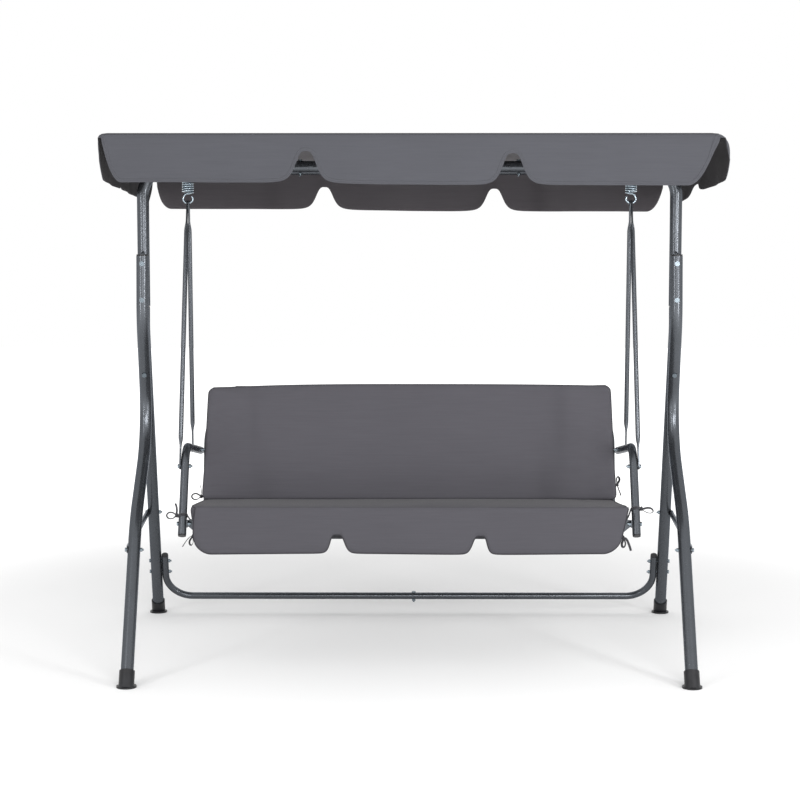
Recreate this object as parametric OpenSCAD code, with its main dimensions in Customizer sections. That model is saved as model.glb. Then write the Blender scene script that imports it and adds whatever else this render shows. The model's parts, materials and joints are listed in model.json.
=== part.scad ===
// Three-seat porch swing: a fixed A-frame base, a seat hung on two springs, and a tilting canopy.
// Millimetres. +X to the sitter's left as seen from the front, +Y to the rear, +Z up.
// Origin: centre of the footprint, on the ground.

/* [Base frame] */
// Outside diameter of the leg and beam tubes
leg_d = 36; // [32:1:38]
// Wall of the leg and beam tubes
leg_wall = 1.2; // [1:0.1:2]
// Distance of the front and rear feet from the middle, front to back
foot_y = 521.5; // [500:0.5:530]
// Half distance between the legs at ground level, halfway front to back
leg_x0 = 810; // [805:1:812]
// How much the legs spread towards the rear, per unit of depth
leg_yaw = 0.045; // [0.03:0.005:0.05]
// How much the legs lean inwards, per unit of height
leg_lean = 0.012; // [0.008:0.001:0.014]
// Height of the beam's axis
beam_z = 1453; // [1450:1:1456]
// Front-to-back place of the beam's axis
beam_y = -10; // [-14:1:-8]
// Half distance between the beam's two upright ends
beam_x = 794.5; // [794:0.5:796]
// Bend radius at the beam's two ends
beam_bend = 85; // [80:1:90]

/* [Seat] */
// Half distance between the armrest tubes
arm_x = 652; // [651:1:653]
// Outside diameter of the armrest and seat tubes
seat_d = 24; // [22:0.5:24]
// Height of the seat frame's front tube
seat_z = 393; // [390:1:396]
// Front-to-back place of the seat frame's front tube
seat_y = -292; // [-294:1:-290]
// Depth of the seat frame between its front and rear tubes
seat_depth = 450; // [445:1:455]
// Backward slope of the seat in degrees
seat_tilt = 5; // [4.5:0.5:5.5]
// Backward slope of the backrest in degrees
back_tilt = 11; // [10.5:0.5:11.5]
// Thickness of the seat cushion
cushion_t = 66; // [60:1:68]
// Thickness of the back cushion
back_cushion_t = 68; // [60:1:70]

/* [Canopy] */
// Width of the canopy
canopy_w = 1661; // [1659:1:1665]
// Depth of the canopy
canopy_depth = 1100; // [1090:1:1110]
// Height of the canopy's top over the middle of the base
canopy_z = 1499.3; // [1499:0.1:1501]
// Slope of the canopy down to the rear, in degrees
canopy_tilt = 3.2; // [2:0.1:4]
// Height of the hanging valances
valance_h = 143; // [120:1:150]

/* [Springs] */
// Half distance between the springs
spring_x = 660; // [658:1:662]
// Outside diameter of a spring
spring_d = 36; // [34:1:38]
// Wire of a spring
wire_d = 5.5; // [5:0.1:5.6]

/* [Hidden] */
$fn = 48;

left = -1;
right = 1;
sides = [left, right];

// Colours
steel_grey = [0.24, 0.26, 0.29];
zinc = [0.78, 0.79, 0.8];
plastic_black = [0.06, 0.06, 0.07];
fabric_grey = [0.4, 0.4, 0.44];
ribbon_black = [0.08, 0.08, 0.09];
mesh_black = [0.12, 0.12, 0.13];

// Small clearances
fit = 0.1;
gap = 0.3;
nudge = 0.01;

// ---------- vectors and tubes ----------

function unit(v) = v / norm(v);
function leg_x(y, z) = leg_x0 + leg_yaw * y - leg_lean * z;
function leg_point(side, y, z) = [side * leg_x(y, z), y, z];

// Turns the +Z axis to the direction of v and moves it to p
module along(p, v) {
    translate(p)
        rotate([0, acos(v.z / norm(v)), atan2(v.y, v.x)])
            children();
}

// Solid rod from p to q
module rod(p, q, d, extra = 0) {
    along(p - unit(q - p) * extra, q - p)
        cylinder(d = d, h = norm(q - p) + 2 * extra);
}

// Distance from a corner to the start of its arc
function tangent_len(a, b, c, r) =
    r * tan(acos(unit(b - a) * unit(c - b)) / 2);

// One bend of a tube: a torus sector that joins a-b to b-c
module bend(a, b, c, r, d) {
    u = unit(b - a);
    w = unit(c - b);
    turn = acos(u * w);
    inward = unit(w - u * (u * w));
    axis = cross(u, inward);
    centre = b - u * (r * tan(turn / 2)) + inward * r;
    multmatrix([
        [-inward.x, u.x, -axis.x, centre.x],
        [-inward.y, u.y, -axis.y, centre.y],
        [-inward.z, u.z, -axis.z, centre.z],
        [0, 0, 0, 1]
    ])
        rotate_extrude(angle = turn)
            translate([r, 0])
                circle(d = d);
}

// Solid bar along corner points, with one bend radius per inner corner.
// Straight runs reach a little into the bends, which are a hair thicker.
run_in = 1.5;
swell = 0.1;
module bar(points, radii, d, extra = 0) {
    last = len(points) - 1;
    for (i = [0 : last - 1]) {
        u = unit(points[i + 1] - points[i]);
        start_cut = i == 0
            ? -extra
            : tangent_len(points[i - 1], points[i], points[i + 1], radii[i - 1]) - run_in;
        end_cut = i == last - 1
            ? -extra
            : tangent_len(points[i], points[i + 1], points[i + 2], radii[i]) - run_in;
        rod(points[i] + u * start_cut, points[i + 1] - u * end_cut, d);
        if (i < last - 1)
            bend(points[i], points[i + 1], points[i + 2], radii[i], d + swell);
    }
}

// Hollow tube along corner points
module tube(points, radii, d, wall) {
    difference() {
        bar(points, radii, d);
        bar(points, radii, d - 2 * wall, 1);
    }
}

// Direction of a route at each of its points
function directions(p) = [
    for (i = [0 : len(p) - 1])
        unit(p[min(i + 1, len(p) - 1)] - p[max(i - 1, 0)])
];

// The part of n that is square to the unit vector t
function square_to(t, n) = unit(n - t * (n * t));

// Side vectors carried along a route without twist
function carried(dirs, first) = [
    for (
        i = 0, n = square_to(dirs[0], first);
        i < len(dirs);
        i = i + 1, n = i < len(dirs) ? square_to(dirs[i], n) : n
    ) n
];

// Round wire or cord along a route of points
module wire(points, d, sides, first) {
    dirs = directions(points);
    normals = carried(dirs, first);
    last = len(points) - 1;
    rings = [
        for (i = [0 : last], k = [0 : sides - 1])
            points[i]
                + d / 2 * cos(360 * k / sides) * normals[i]
                + d / 2 * sin(360 * k / sides) * cross(dirs[i], normals[i])
    ];
    faces = [
        for (i = [0 : last - 1], k = [0 : sides - 1])
            let (next = (k + 1) % sides)
                [i * sides + next, i * sides + k, (i + 1) * sides + k, (i + 1) * sides + next],
        [for (k = [0 : sides - 1]) k],
        [for (k = [sides - 1 : -1 : 0]) last * sides + k]
    ];
    polyhedron(rings, faces);
}

// ---------- fasteners: [head face, nut face, diameter] ----------

head_h = 4.5;
nut_h = 5.5;
thread_over = 4;

module bolt(f) {
    axis = unit(f[1] - f[0]);
    rod(f[0] - axis, f[1] + axis * (nut_h + thread_over), f[2]);
    along(f[0] - axis * head_h, axis)
        cylinder(d = 2 * f[2], h = head_h, $fn = 6);
}

module nut(f) {
    axis = unit(f[1] - f[0]);
    along(f[1], axis)
        difference() {
            cylinder(d = 1.95 * f[2], h = nut_h, $fn = 6);
            translate([0, 0, -1])
                cylinder(d = f[2] + 2 * fit, h = nut_h + 2);
        }
}

module bolt_holes(list) {
    for (f = list)
        rod(f[0], f[1], f[2] + 4 * fit, 30);
}

// ---------- base frame: places ----------

leg_r = leg_d / 2;
ground_gap = 13;
joint_z = 1190;
upper_end_z = 1040;

// Front leg: corners from the foot to the top
function front_leg_path(side) = [
    leg_point(side, -foot_y + 0.64 * ground_gap, ground_gap),
    leg_point(side, -244.6, 433.4),
    leg_point(side, 112.8, 651),
    leg_point(side, -40, 1000),
    leg_point(side, -43, joint_z)
];
front_leg_bends = [300, 180, 250];

// Rear leg: corners from the foot to the top
function rear_leg_path(side) = [
    leg_point(side, foot_y - 0.5247 * ground_gap, ground_gap),
    leg_point(side, 9, 976.8),
    leg_point(side, 8, upper_end_z - 6)
];
rear_leg_bends = [60];

// Top beam: corners of one half, from its lower end to its inner end
beam_joint_x = 300;
function beam_path(side) = [
    [side * beam_x, beam_y, upper_end_z],
    [side * beam_x, beam_y, beam_z],
    [side * beam_joint_x, beam_y, beam_z]
];
beam_bends = [beam_bend];

// Crossbar between the rear legs
crossbar_d = 22;
crossbar_wall = 1;
crossbar_z = 60;
crossbar_top_z = 208;
crossbar_joint_x = 15;
rear_slope = 0.5247;
function rear_y(z) = foot_y - rear_slope * z;
function crossbar_side_x(z) = leg_x(rear_y(z), z) - leg_r - crossbar_d / 2 - gap;
function crossbar_path(side) = [
    [side * crossbar_side_x(crossbar_top_z), rear_y(crossbar_top_z), crossbar_top_z],
    [side * crossbar_side_x(crossbar_z), rear_y(crossbar_z), crossbar_z],
    [0, rear_y(crossbar_z), crossbar_z]
];
crossbar_bends = [85];

// Side braces
brace_d = 16;
brace_plate_t = 3;
brace_flat = 36;
brace_front_z = 350;
brace_front_y = -297.5;
brace_rear_z = 364;
function brace_end(side, y, z) = [side * (leg_x(y, z) + leg_r + gap + brace_plate_t / 2), y, z];
function brace_ends(side) = [
    brace_end(side, brace_front_y, brace_front_z),
    brace_end(side, rear_y(brace_rear_z), brace_rear_z)
];

// Bolts of the base frame
m8 = 8;
m6 = 6;
function leg_bolt(side, z) = [
    leg_point(side, -43 - leg_r, z),
    leg_point(side, beam_y + leg_r, z),
    m8
];
lower_bolt_front = [30.8, 838.3];
lower_bolt_dir = [0.9, 0.436];
lower_bolt_gap = 45;
function lower_bolt_point(side, t) = leg_point(
    side,
    lower_bolt_front.x + lower_bolt_dir.x * t,
    lower_bolt_front.y + lower_bolt_dir.y * t
);
function lower_leg_bolt(side) = [
    lower_bolt_point(side, -leg_r),
    lower_bolt_point(side, lower_bolt_gap + leg_r + gap),
    m8
];
function side_bolt(side, p, out, inside, d) = [
    [side * out, p.x, p.y],
    [side * inside, p.x, p.y],
    d
];
function brace_bolt(side, y, z) = side_bolt(
    side, [y, z],
    leg_x(y, z) + leg_r + 2 * gap + brace_plate_t,
    leg_x(y, z) - leg_r - gap,
    m6
);
function brace_bolts(side) = [
    brace_bolt(side, brace_front_y, brace_front_z),
    brace_bolt(side, rear_y(brace_rear_z), brace_rear_z)
];
crossbar_bolt_zs = [150, 189];
function crossbar_bolt(side, z) = side_bolt(
    side, [rear_y(z), z],
    leg_x(rear_y(z), z) + leg_r,
    leg_x(rear_y(z), z) - leg_r - crossbar_d - 2 * gap,
    m6
);
crossbar_middle_bolt = [
    [crossbar_joint_x, rear_y(crossbar_z), crossbar_z + crossbar_d / 2],
    [crossbar_joint_x, rear_y(crossbar_z), crossbar_z - crossbar_d / 2],
    m6
];
function beam_bolt(side) = [
    [side * (beam_joint_x + 25), beam_y, beam_z + leg_r],
    [side * (beam_joint_x + 25), beam_y, beam_z - leg_r],
    m6
];
leg_bolt_zs = [1167, 1059];
function side_frame_bolts(side) = [
    for (z = leg_bolt_zs) leg_bolt(side, z),
    lower_leg_bolt(side),
    each brace_bolts(side),
    for (z = crossbar_bolt_zs) crossbar_bolt(side, z),
    beam_bolt(side)
];
all_frame_bolts = [
    for (side = sides) each side_frame_bolts(side),
    crossbar_middle_bolt
];

// ---------- base frame: parts ----------

module front_leg(side) {
    color(steel_grey)
        difference() {
            tube(front_leg_path(side), front_leg_bends, leg_d, leg_wall);
            bolt_holes([
                leg_bolt(side, leg_bolt_zs[0]),
                leg_bolt(side, leg_bolt_zs[1]),
                lower_leg_bolt(side),
                brace_bolts(side)[0]
            ]);
        }
}

module rear_leg(side) {
    color(steel_grey)
        difference() {
            tube(rear_leg_path(side), rear_leg_bends, leg_d, leg_wall);
            bolt_holes([
                lower_leg_bolt(side),
                brace_bolts(side)[1],
                crossbar_bolt(side, crossbar_bolt_zs[0]),
                crossbar_bolt(side, crossbar_bolt_zs[1])
            ]);
        }
}

// The dent that the front leg's top nests in, running out in front above it
dent_over = 50;
module leg_dent(side, r) {
    top = leg_point(side, -43, joint_z);
    foot = leg_point(side, -40, 1000);
    rod(foot, top + [0, 0, plug_t + 2], 2 * r);
    rod(top, top + [0, -14, dent_over], 2 * r, 4);
}

module beam_end(side) {
    color(steel_grey)
        difference() {
            bar(beam_path(side), beam_bends, leg_d);
            leg_dent(side, leg_r + gap);
            difference() {
                bar(beam_path(side), beam_bends, leg_d - 2 * leg_wall, 1);
                leg_dent(side, leg_r + gap + leg_wall);
            }
            bolt_holes([
                leg_bolt(side, leg_bolt_zs[0]),
                leg_bolt(side, leg_bolt_zs[1]),
                beam_bolt(side)
            ]);
        }
}

// Middle of the beam, with a reduced neck at each end that slides into the end pieces
neck_l = 55;
neck_d = leg_d - 2 * leg_wall - 2 * fit;
module beam_middle() {
    shoulder = beam_joint_x - gap;
    color(steel_grey)
        difference() {
            union() {
                rod([-shoulder, beam_y, beam_z], [shoulder, beam_y, beam_z], leg_d);
                for (side = sides)
                    rod(
                        [side * (shoulder - 1), beam_y, beam_z],
                        [side * (shoulder + neck_l), beam_y, beam_z],
                        neck_d
                    );
            }
            rod(
                [-shoulder - neck_l, beam_y, beam_z],
                [shoulder + neck_l, beam_y, beam_z],
                neck_d - 2 * leg_wall, 1
            );
            bolt_holes([beam_bolt(left), beam_bolt(right)]);
        }
}

// Loops under the beam that the springs hook into
eye_rod_d = 7;
eye_half_w = 14;
ring_top_r = 11;
spring_ring_z = 1417;
eye_z = spring_ring_z + ring_top_r - wire_d / 2 - eye_rod_d / 2 - gap;
module spring_eye(side) {
    x = side * spring_x;
    difference() {
        bar(
            [
                [x - eye_half_w, beam_y, beam_z - leg_r + 3],
                [x - eye_half_w, beam_y, eye_z],
                [x + eye_half_w, beam_y, eye_z],
                [x + eye_half_w, beam_y, beam_z - leg_r + 3]
            ],
            [6, 6], eye_rod_d
        );
        rod([x - 40, beam_y, beam_z], [x + 40, beam_y, beam_z], leg_d);
    }
}

module spring_eyes() {
    color(steel_grey)
        for (side = sides)
            spring_eye(side);
}

// Feet: a sleeve around the end of the leg on a round flange; path is the left leg's
cap_d = 43.5;
cap_l = 34;
flange_d = 56;
flange_t = 5;
module foot(side, path) {
    axis = unit(path[1] - path[0]);
    centre = [path[0].x, path[0].y, 0];
    color(plastic_black)
        mirror([side > 0 ? 1 : 0, 0, 0])
            difference() {
                union() {
                    translate(centre)
                        cylinder(d = flange_d, h = flange_t);
                    intersection() {
                        rod(path[0] - axis * 20, path[0] + axis * cap_l, cap_d);
                        translate(centre + [-50, -50, flange_t / 2])
                            cube([100, 100, 100]);
                    }
                }
                rod(path[0] - axis * gap, path[0] + axis * (cap_l + 1), leg_d + 2 * fit);
            }
}

// Plugs in the open tops of the legs
plug_t = 4;
module plug(p, axis, d, wall) {
    rod(p, p + axis * plug_t, d - 1);
    rod(p - axis * 12, p + axis, d - 2 * wall - 2 * fit);
}

module leg_plugs() {
    color(plastic_black)
        for (side = sides) {
            front = front_leg_path(side);
            rear = rear_leg_path(side);
            plug(front[4] + [0, 0, gap / 3], unit(front[4] - front[3]), leg_d, leg_wall);
            plug(rear[2] + [0, 0, gap / 3], unit(rear[2] - rear[1]), leg_d, leg_wall);
        }
}

// Short bush between the two legs on the lower leg bolt
module leg_spacers() {
    color(zinc)
        for (side = sides)
            difference() {
                rod(lower_bolt_point(side, 14), lower_bolt_point(side, lower_bolt_gap - 14), 15);
                rod(lower_bolt_point(side, 0), lower_bolt_point(side, lower_bolt_gap), m8 + 4 * fit);
                bar(front_leg_path(side), front_leg_bends, leg_d + 2 * fit);
                bar(rear_leg_path(side), rear_leg_bends, leg_d + 2 * fit);
            }
}

// Crossbar halves: the left one's end slides into the right one
sleeve_d = crossbar_d - 2 * crossbar_wall;
module crossbar(side) {
    path = crossbar_path(side);
    mid = path[2];
    inner_end = side == left ? [-20, mid.y, mid.z] : [-19.5, mid.y, mid.z];
    color(steel_grey)
        difference() {
            union() {
                tube([path[0], path[1], inner_end], crossbar_bends, crossbar_d, crossbar_wall);
                if (side == left)
                    difference() {
                        rod(inner_end - [20, 0, 0], inner_end + [60, 0, 0], sleeve_d + fit);
                        rod(inner_end - [21, 0, 0], inner_end + [61, 0, 0], sleeve_d - 2 * crossbar_wall);
                    }
            }
            if (side == right)
                rod(inner_end - [1, 0, 0], inner_end + [62, 0, 0], sleeve_d + 4 * fit);
            bolt_holes([
                crossbar_bolt(side, crossbar_bolt_zs[0]),
                crossbar_bolt(side, crossbar_bolt_zs[1]),
                crossbar_middle_bolt
            ]);
        }
}

module crossbar_caps() {
    color(plastic_black)
        for (side = sides) {
            path = crossbar_path(side);
            axis = unit(path[0] - path[1]);
            plug(path[0] + axis * gap / 3, axis, crossbar_d, crossbar_wall);
        }
}

// Side brace: a thin tube with flattened ends
module side_brace(side) {
    ends = brace_ends(side);
    axis = unit(ends[1] - ends[0]);
    color(steel_grey)
        difference() {
            union() {
                translate([side * (brace_d - brace_plate_t) / 2, 0, 0])
                    tube([ends[0] + axis * brace_flat, ends[1] - axis * brace_flat], [], brace_d, 1);
                for (i = [0, 1])
                    brace_plate(side, ends[i], i == 0 ? axis : -axis);
            }
            bolt_holes(brace_bolts(side));
        }
}

module brace_plate(side, p, axis) {
    yaw = atan2(axis.y, axis.x);
    pitch = asin(axis.z);
    translate(p)
        rotate([0, 0, yaw])
            rotate([0, -pitch, 0])
                translate([-12, -brace_plate_t / 2, -10])
                    cube([brace_flat + 12 + 4, brace_plate_t, 20]);
}

module frame_bolts() {
    color(zinc)
        for (f = all_frame_bolts)
            bolt(f);
}

module frame_nuts() {
    color(zinc)
        for (f = all_frame_bolts)
            nut(f);
}

// ---------- canopy ----------

canopy_half = canopy_w / 2;
cloth_t = 3;
rail_d = 19;
rail_wall = 1;
rail_drop = 16;
rail_x = canopy_half - 16.5;
rail_y = canopy_depth / 2 - 14.5;
socket_l = 34;
socket_d = 22;

// Pivot of the canopy, on the side rails' axis straight over the beam
pivot_z = canopy_z + tan(canopy_tilt) * -beam_y - rail_drop / cos(canopy_tilt);

module in_canopy() {
    translate([0, 0, canopy_z])
        rotate([-canopy_tilt, 0, 0])
            children();
}

// Place along a canopy side rail that lies over the beam, measured in the canopy's own frame

bracket_t = 4;
bracket_w = 16;
bracket_eye_d = 20;
bracket_out = rail_x - rail_d / 2 - gap;
module canopy_bracket(side) {
    low_z = beam_z - 45;
    inner = side == left ? -bracket_out : bracket_out - bracket_t;
    difference() {
        union() {
            translate([inner, beam_y - bracket_w / 2, low_z])
                cube([bracket_t, bracket_w, pivot_z - low_z]);
            translate([inner, beam_y, pivot_z])
                rotate([0, 90, 0])
                    cylinder(d = bracket_eye_d, h = bracket_t);
        }
        bolt_holes([canopy_bolt(side)]);
    }
}

module canopy_brackets() {
    color(steel_grey)
        for (side = sides)
            canopy_bracket(side);
}

function canopy_bolt(side) = side_bolt(
    side, [beam_y, pivot_z],
    rail_x + rail_d / 2 + gap,
    bracket_out - bracket_t - gap / 2,
    m6
);

// Pivot bolts with low heads
low_head = 2.4;
module canopy_bolts() {
    color(zinc)
        for (side = sides) {
            f = canopy_bolt(side);
            axis = unit(f[1] - f[0]);
            rod(f[0], f[1] + axis * 14, m6);
            rod(f[0] - axis * low_head, f[0] + axis * nudge, 14);
        }
}

module canopy_knobs() {
    color(plastic_black)
        for (side = sides) {
            f = canopy_bolt(side);
            axis = unit(f[1] - f[0]);
            difference() {
                union() {
                    rod(f[1], f[1] + axis * 7, 18);
                    rod(f[1] + axis * 6, f[1] + axis * 17, 25);
                }
                rod(f[1] - axis, f[1] + axis * 14.5, m6 + 2 * fit);
                for (a = [0 : 60 : 300])
                    translate(f[1] + axis * 5)
                        rotate([a, 0, 0])
                            translate([0, 0, 15.5])
                                rotate([0, 90, 0])
                                    cylinder(d = 9, h = 40, center = true, $fn = 24);
            }
        }
}

module canopy_cross_rail(end) {
    half = rail_x - rail_d / 2 - 8;
    color(steel_grey)
        in_canopy()
            tube(
                [[-half, end * rail_y, -rail_drop], [half, end * rail_y, -rail_drop]],
                [], rail_d, rail_wall
            );
}

module canopy_side_rail(side) {
    half = rail_y - rail_d / 2 - 8;
    color(steel_grey)
        difference() {
            in_canopy()
                tube(
                    [[side * rail_x, -half, -rail_drop], [side * rail_x, half, -rail_drop]],
                    [], rail_d, rail_wall
                );
            rod(
                [side * (rail_x - 40), beam_y, pivot_z], [side * (rail_x + 40), beam_y, pivot_z],
                m6 + 2 * fit
            );
        }
}

middle_rail_d = 16;
module canopy_middle_rail() {
    color(steel_grey)
        in_canopy()
            difference() {
                rod([0, -rail_y, -rail_drop], [0, rail_y, -rail_drop], middle_rail_d);
                rod([0, -rail_y, -rail_drop], [0, rail_y, -rail_drop], middle_rail_d - 2 * rail_wall, 1);
                for (end = [-1, 1])
                    rod(
                        [-20, end * rail_y, -rail_drop], [20, end * rail_y, -rail_drop],
                        rail_d + 2 * fit
                    );
            }
}

// Plastic elbows that join the canopy rails
module canopy_corners() {
    reach = rail_d / 2 + 8 + socket_l - 8;
    color(plastic_black)
        in_canopy()
            for (side = sides)
                for (end = [-1, 1])
                    difference() {
                        union() {
                            translate([side * rail_x, end * rail_y, -rail_drop])
                                sphere(d = socket_d);
                            rod(
                                [side * rail_x, end * rail_y, -rail_drop],
                                [side * (rail_x - reach), end * rail_y, -rail_drop], socket_d
                            );
                            rod(
                                [side * rail_x, end * rail_y, -rail_drop],
                                [side * rail_x, end * (rail_y - reach), -rail_drop], socket_d
                            );
                        }
                        rod(
                            [side * (rail_x - rail_d / 2 - 8 + gap), end * rail_y, -rail_drop],
                            [side * (rail_x - reach - 1), end * rail_y, -rail_drop], rail_d + 2 * fit
                        );
                        rod(
                            [side * rail_x, end * (rail_y - rail_d / 2 - 8 + gap), -rail_drop],
                            [side * rail_x, end * (rail_y - reach - 1), -rail_drop], rail_d + 2 * fit
                        );
                    }
}

// A valance lies in its own plane: x along the edge, y downwards from 0 to -h
notch_tip = 18;
module notch(w, h) {
    translate([0, -valance_h]) {
        polygon([
            [-w / 2, -1], [w / 2, -1],
            [notch_tip / 2, h - notch_tip / 2], [-notch_tip / 2, h - notch_tip / 2]
        ]);
        translate([0, h - notch_tip / 2])
            circle(d = notch_tip);
    }
}

module valance(half, inset, notches, w, h) {
    linear_extrude(cloth_t)
        difference() {
            polygon([
                [-half, 0], [half, 0],
                [half - 14, -valance_h * 0.55], [half - inset, -valance_h],
                [inset - half, -valance_h], [14 - half, -valance_h * 0.55]
            ]);
            for (x = notches)
                translate([x, 0])
                    notch(w, h);
        }
}

front_notch_x = 278;
module canopy_fabric() {
    color(fabric_grey)
        in_canopy() {
            translate([-canopy_half, -canopy_depth / 2, -cloth_t])
                cube([canopy_w, canopy_depth, cloth_t]);
            for (end = [-1, 1])
                translate([0, end * canopy_depth / 2 + (end < 0 ? cloth_t : 0), -nudge])
                    rotate([90, 0, 0])
                        valance(canopy_half, 62, [-front_notch_x, front_notch_x], 112, 84);
            for (side = sides)
                translate([side * canopy_half - (side > 0 ? cloth_t : 0), 0, -nudge])
                    rotate([90, 0, 90])
                        valance(canopy_depth / 2, 40, [0], 100, 60);
        }
}

// ---------- springs ----------

coil_r = (spring_d - wire_d) / 2;
coil_low_z = 1379;
coil_high_z = 1409;
coil_turns = 4.75;
coil_steps = 28;
wire_sides = 8;

// From the top of the coil in to the foot of the ring, from the axis at the coil's top
lead_in = [[5.5, -13.6, 0.4], [9, -9.5, 0.6], [9.3, -4.5, 0], [6.5, -0.8, -1.2], [2.5, -0.6, -2.2]];
function coil_point(t) = [
    coil_r * cos(360 * t),
    coil_r * sin(360 * t),
    coil_low_z + (coil_high_z - coil_low_z) * t / coil_turns
];
spring_wire = [
    for (i = [0 : coil_turns * coil_steps]) coil_point(i / coil_steps),
    for (p = lead_in) p + [0, 0, coil_high_z],
    for (a = [-100 : -15 : -385]) [0, ring_top_r * cos(a), spring_ring_z + ring_top_r * sin(a)]
];

// Arc of wire in the XZ plane round the origin, from angle a0 to a1
module wire_arc(r, a0, a1) {
    rotate([90, 0, 0])
        rotate([0, 0, a0])
            rotate_extrude(angle = a1 - a0)
                translate([r, 0])
                    circle(d = wire_d);
}

module spring(side) {
    color(zinc)
        translate([side * spring_x, beam_y, 0])
            wire(spring_wire, wire_d, wire_sides, [1, 0, 0]);
}

hook_r = 14.25;
hook_z = 1360.5;
hook_wire_z = hook_z - hook_r;
module spring_hook(side) {
    color(zinc)
        translate([side * spring_x, beam_y, hook_z])
            mirror([side > 0 ? 1 : 0, 0, 0])
                union() {
                    wire_arc(hook_r, 90, 385);
                    rod([-2, 0, hook_r], [coil_r, 0, hook_r - 1.6], wire_d);
                }
}

// ---------- seat ----------

arm_r = seat_d / 2;
seat_wall = 1.2;
post_slope = 0.483;
post_low_z = 396;
post_ref = [-306, 409];
function post_y(z) = post_ref.x + post_slope * (z - post_ref.y);
arm_corner_z = 638;
arm_slope = 0.15;
arm_end_y = 192;
arm_bend = 70;
function arm_z(y) = arm_corner_z - arm_slope * (y - post_y(arm_corner_z));
function armrest_path(side) = [
    [side * arm_x, post_y(post_low_z), post_low_z],
    [side * arm_x, post_y(arm_corner_z), arm_corner_z],
    [side * arm_x, arm_end_y, arm_z(arm_end_y)]
];

// Seat and back frames' own axes
seat_frame_x = 600;
back_frame_x = arm_x - seat_d - 1.5;
hinge_along = 412;
back_foot = [
    seat_y + hinge_along * cos(seat_tilt),
    seat_z - hinge_along * sin(seat_tilt)
];
back_h = 418;
back_bend_at = 272;
back_narrowing = 34;
module in_seat() {
    translate([0, seat_y, seat_z])
        rotate([-seat_tilt, 0, 0])
            children();
}
module in_back() {
    translate([0, back_foot.x, back_foot.y])
        rotate([-back_tilt, 0, 0])
            children();
}
function back_y(z) = back_foot.x + (z - back_foot.y) * tan(back_tilt);

// Hangers
hanger_d = 14;
plate_t = 4.6;
plate_w = 18;
hang_hole_d = 10;
hang_hole_drop = hang_hole_d / 2 - wire_d / 2 - 1.1;
hang_top_z = hook_wire_z - hang_hole_drop;
front_hang = [-222.5, 583];
rear_hang = [110, 0];
hang_plate_x = arm_x + arm_r + gap + plate_t / 2;

// Bolts of the seat
bracket_reach = arm_x - arm_r - gap;
lower_bolt_z = 426;
function seat_side_bolts(side) = [
    side_bolt(side, front_hang, hang_plate_x + plate_t / 2, arm_x - arm_r, m6),
    side_bolt(side, [rear_hang.x, arm_z(rear_hang.x)], hang_plate_x + plate_t / 2, arm_x - arm_r, m6),
    side_bolt(side, [post_y(lower_bolt_z), lower_bolt_z], arm_x + arm_r, bracket_reach - 3, m6),
    side_bolt(side, [back_y(arm_z(165)), arm_z(165)], arm_x + arm_r, back_frame_x - arm_r, m6),
    side_bolt(side, back_foot, back_frame_x + arm_r, seat_frame_x - arm_r, m6)
];
all_seat_bolts = [for (side = sides) each seat_side_bolts(side)];

module armrest(side) {
    b = seat_side_bolts(side);
    color(steel_grey)
        difference() {
            tube(armrest_path(side), [arm_bend], seat_d, seat_wall);
            bolt_holes([b[0], b[1], b[2], b[3]]);
        }
}

module armrest_caps() {
    color(plastic_black)
        for (side = sides) {
            path = armrest_path(side);
            low = unit(path[0] - path[1]);
            rear = unit(path[2] - path[1]);
            plug(path[0] + low * gap / 3, low, seat_d, seat_wall);
            plug(path[2] + rear * gap / 3, rear, seat_d, seat_wall);
        }
}

// Hanger rod: a tube with both ends pressed flat
flat_top = 62;
flat_low = 64;
module hanger(side, low, offset) {
    top = [side * (spring_x + offset), beam_y, hang_top_z];
    end = [side * hang_plate_x, low.x, low.y];
    axis = unit(end - top);
    color(steel_grey)
        difference() {
            union() {
                tube([top + axis * flat_top, end - axis * flat_low], [], hanger_d, 1.5);
                flat_end(top, axis, flat_top + 1, plate_w);
                flat_end(end, -axis, flat_low + 1, plate_w);
            }
            translate(top)
                rotate([0, 90, 0])
                    cylinder(d = hang_hole_d, h = 30, center = true);
            translate(end)
                rotate([0, 90, 0])
                    cylinder(d = m6 + 4 * fit, h = 30, center = true);
        }
}

module flat_end(p, axis, length, w) {
    lean = atan2(axis.y, -axis.z);
    translate(p)
        rotate([lean, 0, 0]) {
            translate([-plate_t / 2, -w / 2, -length])
                cube([plate_t, w, length]);
            rotate([0, 90, 0])
                cylinder(d = w, h = plate_t, center = true);
        }
}

module seat_frame() {
    d = seat_depth;
    x = seat_frame_x;
    color(steel_grey)
        difference() {
            in_seat()
                difference() {
                    seat_loop(d, x, seat_d);
                    seat_loop(d, x, seat_d - 2 * seat_wall);
                }
            bolt_holes([for (side = sides) seat_side_bolts(side)[4]]);
        }
}

// Closed rectangle of tube with rounded corners
module seat_loop(d, x, dia) {
    bar(
        [[0, 0, 0], [x, 0, 0], [x, d, 0], [-x, d, 0], [-x, 0, 0], [0, 0, 0]],
        [30, 25, 25, 30], dia
    );
}

// Support bar under the sling, bowed downwards
module seat_middle_bar() {
    r = arm_r;
    color(steel_grey)
        in_seat()
            difference() {
                tube(
                    [[0, 0, 0], [0, 60, -26], [0, seat_depth - 60, -26], [0, seat_depth, 0]],
                    [60, 60], 19, 1
                );
                rod([-30, 0, 0], [30, 0, 0], seat_d + 2 * fit);
                rod([-30, seat_depth, 0], [30, seat_depth, 0], seat_d + 2 * fit);
            }
}

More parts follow.
